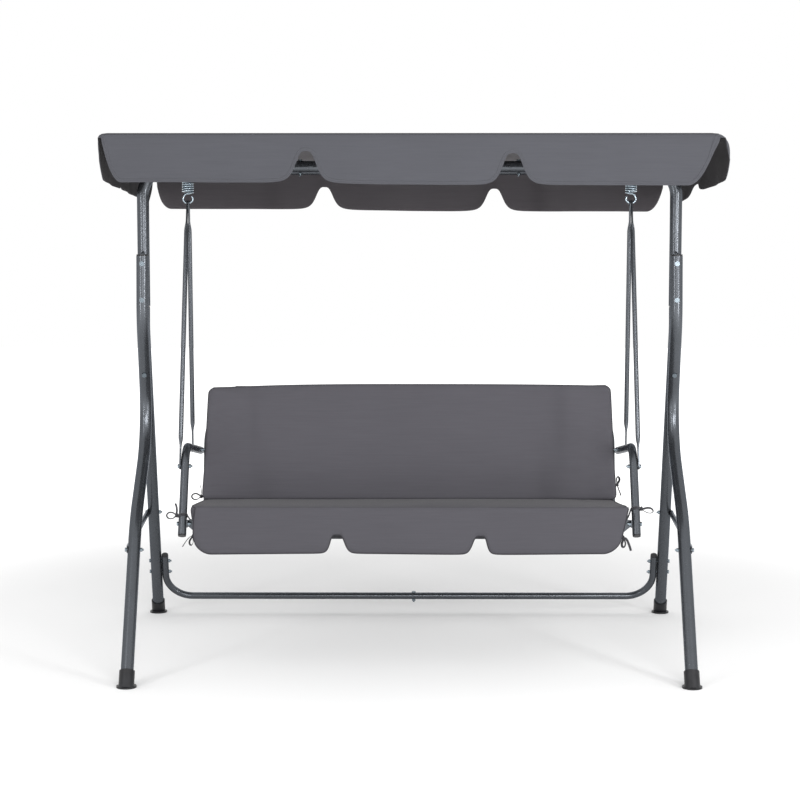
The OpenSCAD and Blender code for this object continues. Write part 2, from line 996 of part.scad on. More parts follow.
// Brackets between the seat frame's front corners and the armrest posts
module seat_bracket(side) {
    base_x = seat_frame_x + arm_r - 2;
    y = post_y(lower_bolt_z);
    tab_x = bracket_reach - 3;
    mirror([side < 0 ? 1 : 0, 0, 0]) {
        translate([0, y + 1.5 + 10, 0])
            rotate([90, 0, 0])
                linear_extrude(3)
                    polygon([
                        [base_x, seat_z + 1], [base_x, 442],
                        [tab_x + 1, lower_bolt_z + 9], [tab_x + 1, lower_bolt_z - 9]
                    ]);
        translate([tab_x, y - 10, lower_bolt_z - 10])
            cube([3, 21, 20]);
    }
}

module seat_brackets() {
    color(steel_grey)
        difference() {
            for (side = sides)
                seat_bracket(side);
            in_seat()
                seat_loop(seat_depth, seat_frame_x, seat_d + 2 * fit);
            bolt_holes([for (side = sides) seat_side_bolts(side)[2]]);
        }
}

module back_frame() {
    x = back_frame_x;
    top_x = x - back_narrowing;
    path = [
        [-x, 0, -20],
        [-x, 0, back_bend_at],
        [-top_x, 0, back_h],
        [top_x, 0, back_h],
        [x, 0, back_bend_at],
        [x, 0, -20]
    ];
    color(steel_grey)
        difference() {
            in_back()
                tube(path, [200, 60, 60, 200], seat_d, seat_wall);
            bolt_holes([for (side = sides) each [seat_side_bolts(side)[3], seat_side_bolts(side)[4]]]);
        }
}

sling_t = 2;
module seat_sling() {
    color(mesh_black)
        in_seat()
            translate([-seat_frame_x, 0, arm_r + gap])
                cube([2 * seat_frame_x, hinge_along - 22, sling_t]);
}

module back_sling() {
    low = 45;
    high = back_h - 15;
    low_x = back_frame_x - 2;
    high_x = low_x - back_narrowing;
    color(mesh_black)
        in_back()
            translate([0, -arm_r - gap, 0])
                rotate([90, 0, 0])
                    linear_extrude(sling_t)
                        polygon([
                            [-low_x, low],
                            [low_x, low],
                            [low_x, back_bend_at],
                            [high_x, high],
                            [-high_x, high],
                            [-low_x, back_bend_at]
                        ]);
}

module seat_bolts() {
    color(zinc)
        for (f = all_seat_bolts)
            bolt(f);
}

module seat_nuts() {
    color(zinc)
        for (f = all_seat_bolts)
            nut(f);
}

// ---------- cushions ----------

// Slab with rounded upright corners, standing on z = 0
module slab(w, d, h, r) {
    translate([-w / 2 + r, 0, 0])
        cube([w - 2 * r, d, h]);
    translate([-w / 2, r, 0])
        cube([w, d - 2 * r, h]);
    for (x = [-w / 2 + r, w / 2 - r], y = [r, d - r])
        translate([x, y, 0])
            cylinder(r = r, h = h);
}

seat_cushion_w = 1270;
seat_cushion_low = arm_r + gap + sling_t + gap;
seat_cushion_front = -16;
seat_cushion_d = 398 - seat_cushion_front;
bracket_room = [30, 24, 40];
module seat_cushion() {
    color(fabric_grey)
        in_seat()
            translate([0, seat_cushion_front, seat_cushion_low])
                difference() {
                    slab(seat_cushion_w, seat_cushion_d, cushion_t, 20);
                    for (side = sides)
                        translate([side * seat_cushion_w / 2, 9, 14])
                            cube(2 * bracket_room, center = true);
                }
}

back_cushion_w = 1250;
back_cushion_low = 92;
back_cushion_h = 345;
module back_cushion() {
    color(fabric_grey)
        in_back()
            translate([0, -arm_r - 2 * gap - sling_t, back_cushion_low])
                rotate([90, 0, 0])
                    slab(back_cushion_w, back_cushion_h, back_cushion_t, 20);
}

// Scalloped flap hanging in front of the seat
flap_w = 1226;
flap_t = 5;
flap_h = 133;
flap_top_z = 476;
flap_notch_x = 206;
flap_r = 55;
module seat_flap() {
    y = seat_y + seat_cushion_front - 8;
    color(fabric_grey)
        translate([0, y, flap_top_z])
            rotate([90, 0, 0])
                linear_extrude(flap_t)
                    difference() {
                        union() {
                            translate([-flap_w / 2, -flap_h + flap_r])
                                square([flap_w, flap_h - flap_r]);
                            translate([-flap_w / 2 + flap_r, -flap_h])
                                square([flap_w - 2 * flap_r, flap_r + 1]);
                            for (s = sides)
                                translate([s * (flap_w / 2 - flap_r), -flap_h + flap_r])
                                    circle(r = flap_r);
                        }
                        for (s = sides)
                            translate([s * flap_notch_x, -flap_h])
                                flap_notch();
                    }
}

flap_notch_w = 74;
flap_notch_h = 52;
module flap_notch() {
    tip = 26;
    polygon([
        [-flap_notch_w / 2, -1], [flap_notch_w / 2, -1],
        [tip / 2, flap_notch_h - tip / 2], [-tip / 2, flap_notch_h - tip / 2]
    ]);
    translate([0, flap_notch_h - tip / 2])
        circle(d = tip);
}

// ---------- ribbon ties ----------

ribbon_t = 1.5;
ribbon_w = 7;
tie_d = 6;

// Ways a tie can lie: out of its knot, round one loop, back past the knot and along its tail.
// Each point is [outwards, back, up] from the knot.
bow_route = [
    [0, 4, -1], [6, 4, 4], [13, 3.5, 8], [21, 2.5, 8.5], [27, 1, 5], [29, 0, -1], [25, -1, -7],
    [17, -2.5, -9], [9, -3.5, -6.5], [3, -4, -1], [0, -4, 7], [-1, -4, 16], [0, -4, 26], [3, -4, 36]
];
loop_route = [
    [0, -4, -1], [7, -4, 3], [15, -3.5, 6.5], [24, -2.5, 7.5], [31, -1, 4.5], [34, 0, -1], [30, 1, -6],
    [21, 2.5, -8], [11, 3.5, -6], [3, 6, -3], [-4, 10.5, -6], [-9, 14, -13], [-12, 13, -25]
];
raised_route = [
    [0, 4, 1], [4, 4, 6], [7, 3, 13], [6, 2, 20], [1.5, 0.5, 24], [-2, -0.5, 19], [-2, -2, 11],
    [-0.5, -3, 4], [1, -3.8, -4], [4, -4, -14], [8, -4, -24], [12, -3, -34]
];
hanging_route = [
    [0, 4, 0], [5, 4, -7], [9, 2.5, -17], [7, 1, -25], [1.5, -0.5, -26], [-2, -2, -18], [-1, -3, -9],
    [1.5, -4, -2], [6, -4.5, -0.5], [11.5, -4.5, -5.5], [17, -4.5, -14], [22, -4, -23], [27, -3, -33]
];

// A tie at a knot, turned in its upright plane by an angle
module tie(side, route, knot, turn) {
    color(ribbon_black)
        translate(knot)
            mirror([side < 0 ? 1 : 0, 0, 0])
                rotate([0, turn, 0])
                    wire(route, tie_d, 8, [0, 1, 0]);
}

// Bands round the armrest posts, each with a strand in to the cushion's corner
band_zs = [448, 467];
function band_z(side) = side < 0 ? band_zs[0] : band_zs[1];
module tie_bands() {
    color(ribbon_black)
        for (side = sides) {
            post = [side * arm_x, post_y(band_z(side)), band_z(side)];
            axis = unit([0, post_slope, 1]);
            difference() {
                rod(post - axis * ribbon_w / 2, post + axis * ribbon_w / 2, seat_d + 2 * fit + 2 * ribbon_t);
                rod(post - axis * ribbon_w, post + axis * ribbon_w, seat_d + 2 * fit);
            }
        }
}

knot_out = arm_r + ribbon_t + fit + tie_d / 2 + 1;
post_turns = [0, 12];
module post_tie(side) {
    z = band_z(side);
    knot = [side * (arm_x + knot_out), post_y(z), z];
    tie(side, side < 0 ? bow_route : loop_route, knot, side < 0 ? post_turns[0] : post_turns[1]);
}

back_tie_knots = [[-641, 94, 448], [640, 96, 486]];
module back_tie(side) {
    tie(side, side < 0 ? bow_route : raised_route, back_tie_knots[side < 0 ? 0 : 1], 0);
}

flap_tie_knots = [[-621, -306, 391], [615, -306, 387]];
flap_tie_turns = [-6, 9];
module flap_tie(side) {
    i = side < 0 ? 0 : 1;
    tie(side, hanging_route, flap_tie_knots[i], flap_tie_turns[i]);
}

beam_end(left);  // beam_left
beam_end(right);  // beam_right
beam_middle();
spring_eyes();
canopy_brackets();
front_leg(left);  // front_leg_left
front_leg(right);  // front_leg_right
rear_leg(left);  // rear_leg_left
rear_leg(right);  // rear_leg_right
leg_plugs();
leg_spacers();
foot(left, front_leg_path(left));  // front_foot_left
foot(right, front_leg_path(left));  // front_foot_right
foot(left, rear_leg_path(left));  // rear_foot_left
foot(right, rear_leg_path(left));  // rear_foot_right
crossbar(left);  // crossbar_left
crossbar(right);  // crossbar_right
crossbar_caps();
side_brace(left);  // side_brace_left
side_brace(right);  // side_brace_right
frame_bolts();
frame_nuts();
canopy_bolts();
canopy_knobs();
canopy_cross_rail(-1);  // canopy_front_rail
canopy_cross_rail(1);  // canopy_rear_rail
canopy_side_rail(left);  // canopy_rail_left
canopy_side_rail(right);  // canopy_rail_right
canopy_middle_rail();
canopy_corners();
canopy_fabric();
spring(left);  // spring_left
spring(right);  // spring_right
spring_hook(left);  // spring_hook_left
spring_hook(right);  // spring_hook_right
hanger(left, front_hang, 2.5);  // hanger_front_left
hanger(right, front_hang, 2.5);  // hanger_front_right
hanger(left, [rear_hang.x, arm_z(rear_hang.x)], -2.5);  // hanger_rear_left
hanger(right, [rear_hang.x, arm_z(rear_hang.x)], -2.5);  // hanger_rear_right
armrest(left);  // armrest_left
armrest(right);  // armrest_right
armrest_caps();
seat_frame();
seat_middle_bar();
seat_brackets();
back_frame();
seat_sling();
back_sling();
seat_bolts();
seat_nuts();
seat_cushion();
seat_flap();
back_cushion();
tie_bands();
post_tie(left);  // post_tie_left
post_tie(right);  // post_tie_right
back_tie(left);  // back_tie_left
back_tie(right);  // back_tie_right
flap_tie(left);  // flap_tie_left
flap_tie(right);  // flap_tie_right
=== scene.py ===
"""Looks of the porch swing: cloth canopy, sewn cushions, ribbon ties, wound springs and every finish.

Metres, in the frame's own axes: +X to the right end, +Y to the rear, +Z up.
"""

import json
import math

import bmesh
import bpy
from mathutils import Matrix, Vector


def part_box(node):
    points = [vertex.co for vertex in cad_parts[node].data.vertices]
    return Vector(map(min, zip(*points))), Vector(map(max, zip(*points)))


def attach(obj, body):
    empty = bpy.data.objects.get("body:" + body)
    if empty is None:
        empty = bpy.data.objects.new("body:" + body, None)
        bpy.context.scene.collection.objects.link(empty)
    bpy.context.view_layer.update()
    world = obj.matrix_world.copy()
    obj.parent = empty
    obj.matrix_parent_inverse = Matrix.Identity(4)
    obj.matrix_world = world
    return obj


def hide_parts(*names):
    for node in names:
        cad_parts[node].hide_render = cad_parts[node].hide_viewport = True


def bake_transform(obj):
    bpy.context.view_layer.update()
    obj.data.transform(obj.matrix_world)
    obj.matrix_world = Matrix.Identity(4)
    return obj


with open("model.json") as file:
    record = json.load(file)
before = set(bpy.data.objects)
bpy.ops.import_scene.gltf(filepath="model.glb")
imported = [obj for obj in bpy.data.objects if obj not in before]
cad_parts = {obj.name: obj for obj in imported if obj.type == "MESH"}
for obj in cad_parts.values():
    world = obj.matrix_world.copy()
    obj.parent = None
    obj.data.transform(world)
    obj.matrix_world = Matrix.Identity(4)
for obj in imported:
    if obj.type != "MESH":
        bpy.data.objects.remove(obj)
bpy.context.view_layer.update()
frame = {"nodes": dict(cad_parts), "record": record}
NODES = frame["nodes"]
SIDES = (("left", -1), ("right", 1))
MM = 0.001


# ---------- places read from the frame ----------


def centre(node):
    low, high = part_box(node)
    return (Vector(low) + Vector(high)) / 2


def size(node):
    low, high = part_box(node)
    return Vector(high) - Vector(low)


# ---------- materials ----------


class Finish:
    """A node material under construction: one Principled shader and the helpers that feed it."""

    def __init__(self, name, **sockets):
        self.material = bpy.data.materials.new(name)
        self.material.use_nodes = True
        self.tree = self.material.node_tree
        self.shader = self.tree.nodes["Principled BSDF"]
        coordinates = self.node("ShaderNodeTexCoord")
        self.place = coordinates.outputs["Object"]
        self.facing = coordinates.outputs["Normal"]
        for socket, value in sockets.items():
            self.shader.inputs[socket.replace("_", " ")].default_value = value

    def node(self, kind, **settings):
        made = self.tree.nodes.new(kind)
        for key, value in settings.items():
            setattr(made, key, value)
        return made

    def link(self, source, target):
        self.tree.links.new(source, target)

    def stretched(self, scale):
        mapping = self.node("ShaderNodeMapping")
        mapping.inputs["Scale"].default_value = scale
        self.link(self.place, mapping.inputs["Vector"])
        return mapping.outputs["Vector"]

    def noise(self, scale, detail=2.0, stretch=None):
        texture = self.node("ShaderNodeTexNoise")
        texture.inputs["Scale"].default_value = scale
        texture.inputs["Detail"].default_value = detail
        source = self.stretched(stretch) if stretch else self.place
        self.link(source, texture.inputs["Vector"])
        return texture.outputs["Fac"]

    def threads(self, direction, pitch):
        """Evenly spaced threads along one axis: a wave repeats every pi / 10 over its scale."""
        wave = self.node("ShaderNodeTexWave", bands_direction=direction)
        wave.inputs["Scale"].default_value = math.pi / 10 / pitch
        wave.inputs["Distortion"].default_value = 0.4
        wave.inputs["Detail Scale"].default_value = 0.5
        self.link(self.place, wave.inputs["Vector"])
        return wave.outputs["Fac"]

    def weave(self, pitch):
        """Crossing threads: along each axis, as far as the surface runs that way."""
        split = self.node("ShaderNodeSeparateXYZ")
        self.link(self.facing, split.inputs[0])
        total = 0.0
        for axis in "XYZ":
            across = split.outputs[axis]
            along = self.maths("SUBTRACT", 1.0, self.maths("MULTIPLY", across, across))
            total = self.maths("ADD", total, self.maths("MULTIPLY", self.threads(axis, pitch), along))
        return self.maths("MULTIPLY", total, 0.5)

    def maths(self, operation, a, b):
        made = self.node("ShaderNodeMath", operation=operation)
        for value, socket in zip((a, b), made.inputs):
            if isinstance(value, (int, float)):
                socket.default_value = value
            else:
                self.link(value, socket)
        return made.outputs[0]

    def ramp(self, source, stops):
        ramp = self.node("ShaderNodeValToRGB")
        elements = ramp.color_ramp.elements
        while len(elements) < len(stops):
            elements.new(0.5)
        for element, (position, colour) in zip(elements, stops):
            element.position = position
            element.color = (*colour, 1)
        self.link(source, ramp.inputs["Fac"])
        return ramp.outputs["Color"]

    def mixed(self, share, a, b):
        mix = self.node("ShaderNodeMix", data_type="RGBA")
        mix.inputs[0].default_value = share
        self.link(a, mix.inputs[6])
        self.link(b, mix.inputs[7])
        return mix.outputs[2]

    def colour(self, source):
        self.link(source, self.shader.inputs["Base Color"])

    def roughness(self, source, low, high):
        spread = self.node("ShaderNodeMapRange")
        spread.inputs["To Min"].default_value = low
        spread.inputs["To Max"].default_value = high
        self.link(source, spread.inputs["Value"])
        self.link(spread.outputs["Result"], self.shader.inputs["Roughness"])

    def bump(self, source, height, strength=1.0):
        bump = self.node("ShaderNodeBump")
        bump.inputs["Distance"].default_value = height
        bump.inputs["Strength"].default_value = strength
        self.link(source, bump.inputs["Height"])
        self.link(bump.outputs["Normal"], self.shader.inputs["Normal"])


def shades(colour, low, high):
    return tuple(c * low for c in colour), tuple(c * high for c in colour)


def powder_coat():
    finish = Finish("powder_coat", Metallic=0.75, Coat_Weight=0.12, Coat_Roughness=0.12)
    finish.shader.inputs["Specular Tint"].default_value = (0.3, 0.33, 0.38, 1)
    dull, bright = shades((0.077, 0.083, 0.092), 0.96, 1.04)
    finish.colour(finish.ramp(finish.noise(14, 4), ((0.3, dull), (0.7, bright))))
    finish.roughness(finish.noise(60, 3), 0.25, 0.29)
    finish.bump(finish.noise(700, 1), 0.00001, 0.1)
    return finish.material


def zinc_plate(name, tone):
    finish = Finish(name, Metallic=1.0)
    dull, middle, bright = (tuple(c * tone * k for c in (0.5, 0.59, 0.66)) for k in (0.66, 0.82, 1.0))
    finish.colour(finish.ramp(finish.noise(90, 3), ((0.3, dull), (0.75, middle), (0.55, bright))))
    finish.roughness(finish.noise(260, 2), 0.16, 0.34)
    finish.bump(finish.noise(900, 2), 0.00006, 0.4)
    return finish.material


def black_plastic():
    finish = Finish("black_plastic", Specular_IOR_Level=0.3)
    stops = ((0.3, (0.006, 0.006, 0.007)), (0.7, (0.013, 0.013, 0.015)))
    finish.colour(finish.ramp(finish.noise(40, 3), stops))
    finish.roughness(finish.noise(120, 2), 0.32, 0.48)
    finish.bump(finish.noise(1800, 2), 0.0001, 0.6)
    return finish.material


def woven_cloth(name, colour, pitch, depth=0.00025, sheen=0.06):
    """Plain weave: crossing threads, slubs along the weft and a broad, faint mottle."""
    finish = Finish(name, Sheen_Weight=sheen, Sheen_Roughness=0.5, Specular_IOR_Level=0.2)
    weave = finish.weave(pitch)
    slubs = finish.noise(1, 3, stretch=(9, 260, 260))
    mottle = finish.noise(3.2, 3)
    dark, light = shades(colour, 0.9, 1.09)
    broad = finish.ramp(mottle, ((0.3, dark), (0.7, light)))
    thin, thick = shades(colour, 0.84, 1.14)
    streaks = finish.ramp(slubs, ((0.3, thin), (0.7, thick)))
    low, high = shades(colour, 0.7, 1.22)
    cells = finish.ramp(weave, ((0.1, low), (0.9, high)))
    finish.colour(finish.mixed(0.35, finish.mixed(0.45, broad, streaks), cells))
    finish.roughness(mottle, 0.82, 0.95)
    relief = finish.maths("ADD", weave, finish.maths("MULTIPLY", slubs, 0.8))
    finish.bump(relief, depth, 0.55)
    return finish.material


def sling_mesh():
    finish = Finish("sling_mesh", Specular_IOR_Level=0.35)
    cells = finish.weave(0.003)
    finish.colour(finish.ramp(cells, ((0.2, (0.008, 0.008, 0.01)), (0.8, (0.045, 0.046, 0.052)))))
    finish.roughness(finish.noise(30, 2), 0.6, 0.75)
    finish.bump(cells, 0.0006, 0.8)
    return finish.material


def ribbon_tape():
    finish = Finish("ribbon_tape", Sheen_Weight=0.2, Specular_IOR_Level=0.3)
    ribs = finish.threads("DIAGONAL", 0.0012)
    finish.colour(finish.ramp(ribs, ((0.2, (0.008, 0.008, 0.01)), (0.8, (0.028, 0.028, 0.033)))))
    finish.roughness(finish.noise(200, 2), 0.7, 0.85)
    finish.bump(ribs, 0.00015, 0.7)
    return finish.material


COAT = powder_coat()
ZINC = zinc_plate("zinc_plate", 1.0)
SCREW_ZINC = zinc_plate("screw_zinc_plate", 0.5)
PLASTIC = black_plastic()
CUSHION = woven_cloth("cushion_cloth", (0.062, 0.06, 0.069), 0.0016)
# The cushion cloth again, a little darker: painted shade on the flap that hangs at the front
SHADED_FLAP_CLOTH = woven_cloth("flap_cloth_painted_shade", (0.051, 0.0495, 0.057), 0.0016)
CANOPY_OUT = woven_cloth("canopy_cloth", (0.048, 0.049, 0.0565), 0.0014, sheen=0.08)
CANOPY_IN = woven_cloth("canopy_lining", (0.06, 0.055, 0.06), 0.0026, 0.0004, sheen=0.05)
# The lining cloth again at under half its brightness: painted shade on the inner faces of the side
# valances
SHADED_SIDE_LINING = woven_cloth("canopy_side_lining_painted_shade", (0.027, 0.025, 0.027), 0.0026, 0.0004, sheen=0.02)
# The canopy cloth again, a little lighter: painted highlight along the turned hem
LIT_CANOPY_HEM = woven_cloth("canopy_hem_cloth_painted_highlight", (0.0495, 0.0505, 0.058), 0.0012)
PIPING = woven_cloth("cushion_piping", (0.022, 0.021, 0.025), 0.0012)
SLING = sling_mesh()
RIBBON = ribbon_tape()
SLOT_FINISH = {
    "powder_coated_steel": COAT,
    "zinc_steel": ZINC,
    "black_plastic": PLASTIC,
    "canopy_cloth": CANOPY_OUT,
    "cushion_cloth": CUSHION,
    "sling_mesh": SLING,
    "ribbon": RIBBON,
}


def finish_frame():
    """Gives each CAD node the finish of its slot, and screws a darker zinc."""
    for part in frame["record"]["subparts"]:
        obj = NODES[part["node"]]
        screws = part["node"].endswith(("_bolts", "_nuts"))
        obj.data.materials.clear()
        obj.data.materials.append(SCREW_ZINC if screws else SLOT_FINISH[part["material_slot"]])


# ---------- mesh helpers ----------


def clamped(value, low=0.0, high=1.0):
    return min(max(value, low), high)


def eased(t):
    t = clamped(t)
    return t * t * (3 - 2 * t)


def put(name, data):
    """A new object in the scene."""
    obj = bpy.data.objects.new(name, data)
    bpy.context.scene.collection.objects.link(obj)
    return obj


def new_piece(name, verts, faces, materials, slot):
    mesh = bpy.data.meshes.new(name)
    mesh.from_pydata([tuple(v) for v in verts], [], faces)
    mesh.update()
    for material in materials:
        mesh.materials.append(material)
    mesh.shade_smooth()
    obj = put(name, mesh)
    return obj


def tidy_normals(obj):
    work = bmesh.new()
    work.from_mesh(obj.data)
    bmesh.ops.recalc_face_normals(work, faces=work.faces)
    work.to_mesh(obj.data)
    work.free()


def smooth_route(points, steps, closed=False):
    """Catmull-Rom curve through the points."""
    count = len(points)
    route = []
    for i in range(count if closed else count - 1):
        near = (i - 1, i, i + 1, i + 2)
        a, b, c, d = (points[k % count if closed else clamped(k, 0, count - 1)] for k in near)
        for step in range(steps):
            t = step / steps
            curve = 2 * b + (c - a) * t + (2 * a - 5 * b + 4 * c - d) * t**2
            route.append(0.5 * (curve + (3 * b - a - 3 * c + d) * t**3))
    if not closed:
        route.append(points[-1].copy())
    return route


def carried_frames(route, first):
    """Two crossing directions at each point of the route, carried along without twist."""
    frames = []
    side = Vector(first)
    for i in range(len(route)):
        ahead = (route[min(i + 1, len(route) - 1)] - route[max(i - 1, 0)]).normalized()
        side = (side - ahead * side.dot(ahead)).normalized()
        frames.append((side, ahead.cross(side)))
    return frames


def grid_faces(rows, cols, wrapped=False):
    """Quads between rows of points. Wrapped rows close on themselves."""
    return [
        tuple(r * cols + c % cols for r, c in ((i, j), (i, j + 1), (i + 1, j + 1), (i + 1, j)))
        for i in range(rows - 1)
        for j in range(cols if wrapped else cols - 1)
    ]


def thicken(obj, thickness, offset):
    """Gives a sheet its thickness: to its inner side at offset -1, to both at 0."""
    shell = obj.modifiers.new("shell", "SOLIDIFY")
    shell.thickness = thickness
    shell.offset = offset
    return shell


def loft(name, route, first, section, materials, slot, closed_ends=True):
    """Skin over a route. section(i) gives the outline there as (side, other) pairs."""
    verts = []
    for i, (point, (side, other)) in enumerate(zip(route, carried_frames(route, first))):
        verts += [point + side * a + other * b for a, b in section(i)]
    count = len(verts) // len(route)
    faces = grid_faces(len(route), count, wrapped=True)
    if closed_ends:
        faces.append(tuple(range(count))[::-1])
        faces.append(tuple(range(len(verts) - count, len(verts))))
    obj = new_piece(name, verts, faces, materials, slot)
    tidy_normals(obj)
    return obj


def circle(radius, sides):
    angles = (2 * math.pi * k / sides for k in range(sides))
    return [(radius * math.cos(a), radius * math.sin(a)) for a in angles]


def rounded_bar(width, thick, sides):
    """Outline between a circle and a flat bar, as a superellipse."""
    power = 2 / (2 + 6 * max(0.0, 1 - thick / width))
    return [
        (math.copysign(abs(c) ** power, c) * width / 2, math.copysign(abs(s) ** power, s) * thick / 2)
        for c, s in circle(1, sides)
    ]


def piping(name, route, radius, slot, sides=8, closed=False):
    """A round cord of piping along a route, on no axis of its own."""
    if closed:
        route = route + [route[0]]
    outline = circle(radius, sides)
    return loft(name, route, (0.31, 0.55, 0.77), lambda i: outline, [PIPING], slot, not closed)


# ---------- camera ----------


def add_camera():
    camera = put("camera", bpy.data.cameras.new("camera"))
    camera.location = (0, -5.6746, 1.2827)
    camera.rotation_euler = (math.radians(90 - 5.305), 0, math.radians(0.282))
    camera.data.lens = 85.05
    camera.data.sensor_width = 36
    camera.data.clip_end = 60
    bpy.context.scene.camera = camera


# ---------- ribbon ties ----------

RIBBON_WIDTH = 0.007
RIBBON_THICK = 0.0014
TIE_STEPS = 6
# Ways a tie can lie, [outwards, back, up] from its knot in millimetres, as the frame has them
BOW_ROUTE = (
    (0, 4, -1), (6, 4, 4), (13, 3.5, 8), (21, 2.5, 8.5), (27, 1, 5), (29, 0, -1), (25, -1, -7),
    (17, -2.5, -9), (9, -3.5, -6.5), (3, -4, -1), (0, -4, 7), (-1, -4, 16), (0, -4, 26), (3, -4, 36),
)
LOOP_ROUTE = (
    (0, -4, -1), (7, -4, 3), (15, -3.5, 6.5), (24, -2.5, 7.5), (31, -1, 4.5), (34, 0, -1), (30, 1, -6),
    (21, 2.5, -8), (11, 3.5, -6), (3, 6, -3), (-4, 10.5, -6), (-9, 14, -13), (-12, 13, -25),
)
RAISED_ROUTE = (
    (0, 4, 1), (4, 4, 6), (7, 3, 13), (6, 2, 20), (1.5, 0.5, 24), (-2, -0.5, 19), (-2, -2, 11),
    (-0.5, -3, 4), (1, -3.8, -4), (4, -4, -14), (8, -4, -24), (12, -3, -34),
)
HANGING_ROUTE = (
    (0, 4, 0), (5, 4, -7), (9, 2.5, -17), (7, 1, -25), (1.5, -0.5, -26), (-2, -2, -18), (-1, -3, -9),
    (1.5, -4, -2), (6, -4.5, -0.5), (11.5, -4.5, -5.5), (17, -4.5, -14), (22, -4, -23), (27, -3, -33),
)
ARM_X = abs(centre("armrest_left").x)
KNOT_OUT = 0.0176
BAND_Z = {"left": 0.448, "right": 0.467}
POST_SLOPE = 0.483


def post_y(z):
    return -0.306 + POST_SLOPE * (z - 0.409)


# Each tie: name, side, route, knot, turn in degrees, how flat-on its loop and its tail face the front
TIES = (
    ("post_tie_left", -1, BOW_ROUTE, (-ARM_X - KNOT_OUT, post_y(0.448), 0.448), 0, 40, 88),
    ("post_tie_right", 1, LOOP_ROUTE, (ARM_X + KNOT_OUT, post_y(0.467), 0.467), 12, 45, 40),
    ("back_tie_left", -1, BOW_ROUTE, (-0.641, 0.094, 0.448), 0, 45, 50),
    ("back_tie_right", 1, RAISED_ROUTE, (0.640, 0.096, 0.486), 0, 65, 65),
    ("flap_tie_left", -1, HANGING_ROUTE, (-0.621, -0.306, 0.391), -6, 40, 55),
    ("flap_tie_right", 1, HANGING_ROUTE, (0.615, -0.306, 0.387), 9, 35, 40),
)


def add_knot(name, at):
    knot = new_piece(name, *knot_mesh(Vector(at)), [RIBBON], "ribbon")
    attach(knot, "seat")
    return knot


def add_tie(name, side, shape, knot, turn, loop_facing, tail_facing):
    angle = math.radians(turn)
    points = []
    for out, back, up in shape:
        x = out * math.cos(angle) + up * math.sin(angle)
        z = up * math.cos(angle) - out * math.sin(angle)
        points.append(Vector(knot) + Vector((side * x, back, z)) * MM)
    route = smooth_route(points, TIE_STEPS)
    last = len(route) - 1

    def section(i):
        """A tape's outline, turned from the loop's facing to the tail's."""
        share = eased((i / last - 0.55) / 0.25)
        facing = math.radians(loop_facing + (tail_facing - loop_facing) * share)
        c, s = math.cos(facing), math.sin(facing)
        flat = rounded_bar(RIBBON_WIDTH, RIBBON_THICK, 12)
        return [(a * c - b * s, a * s + b * c) for a, b in flat]

    tie = loft(name + "_ribbon", route, (0, 1, 0), section, [RIBBON], "ribbon")
    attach(tie, "seat")
    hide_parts(name)
    add_knot(name + "_knot", knot)


def add_bands():
    """Ribbon wound twice round each post, a knot on its outer side and a strand in to the cushion."""
    post_r = size("armrest_left").x / 2
    for word, side in SIDES:
        z = BAND_Z[word]
        middle = Vector((side * ARM_X, post_y(z), z))
        axis = Vector((0, POST_SLOPE, 1)).normalized()
        across = Vector((1, 0, 0))
        deep = axis.cross(across)
        ring = []
        steps = 72
        for i in range(steps + 1):
            angle = 4 * math.pi * i / steps
            lift = axis * (0.0035 * (i / steps - 0.5) * 2 + 0.0012 * math.sin(angle + 0.6))
            reach = post_r + RIBBON_THICK * (0.7 + 0.35 * i / steps)
            ring.append(middle + (across * math.cos(angle) + deep * math.sin(angle)) * reach + lift)
        flat = rounded_bar(RIBBON_THICK, RIBBON_WIDTH * 0.95, 12)
        band = loft("tie_band_" + word, ring, across, lambda i: flat, [RIBBON], "ribbon")
        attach(band, "seat")
        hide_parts("tie_bands")

        inner = middle + Vector((-side * (post_r + 0.001), -0.002, 0.001))
        corner = Vector((side * (ARM_X - 0.031), -0.3095, 0.4365))
        sag = (inner + corner) / 2 + Vector((0, -0.003, -0.003))
        strand = smooth_route([inner, sag, corner], 8)
        tape = rounded_bar(RIBBON_THICK * 1.3, RIBBON_WIDTH * 0.7, 10)
        piece = loft("tie_strand_" + word, strand, (0, 0, 1), lambda i: tape, [RIBBON], "ribbon")
        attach(piece, "seat")

        add_knot("tie_knot_" + word, middle + Vector((side * (post_r + 0.004), -0.001, 0)))


def knot_mesh(at, radius=0.0055):
    """A small lumpy knot: a squashed ball with one fold round its middle."""
    verts = []
    rows, cols = 9, 16
    for i in range(rows + 1):
        v = math.pi * i / rows
        for j in range(cols):
            u = 2 * math.pi * j / cols
            fold = 1 + 0.16 * math.cos(3 * v) + 0.1 * math.sin(2 * u + v)
            x, y, z = math.sin(v) * math.cos(u), math.sin(v) * math.sin(u), math.cos(v)
            verts.append(at + radius * fold * Vector((0.8 * x, y, 1.1 * z)))
    return verts, grid_faces(rows + 1, cols, wrapped=True)


# ---------- canopy ----------

CLOTH_THICK = 0.0014
VALANCE_H = 0.1385
FRONT_NOTCH_X = 0.278


def canopy_axes():
    """The canopy's own frame, from its front and rear rails: origin on top of the cloth's plane."""
    front, rear = centre("canopy_front_rail"), centre("canopy_rear_rail")
    along = (rear - front).normalized()
    up = Vector((1, 0, 0)).cross(along)
    return (front + rear) / 2, along, up


CANOPY_MID, CANOPY_ALONG, CANOPY_UP = canopy_axes()
CANOPY_TOP = 0.0148
CANOPY_X = size("canopy_fabric").x / 2
CANOPY_Y = ((centre("canopy_rear_rail") - centre("canopy_front_rail")).length + 0.029) / 2


def in_canopy(x, y, z):
    return CANOPY_MID + Vector((x, 0, 0)) + CANOPY_ALONG * y + CANOPY_UP * z


def notch_depth(offset, half_way, steepness, depth):
    """A bell-shaped cut: rounded top, steep sides that flare out into the lower edge."""
    return depth / (1 + abs(offset / half_way) ** steepness)


def round_cut(share, power):
    """Cut at a share of the way out to a valance's end: a quarter of a superellipse."""
    return 1 - (1 - share**power) ** (1 / power)


def swept_cut(share, power):
    """The same for an end that sweeps down from the top corner and flattens out."""
    return share**power


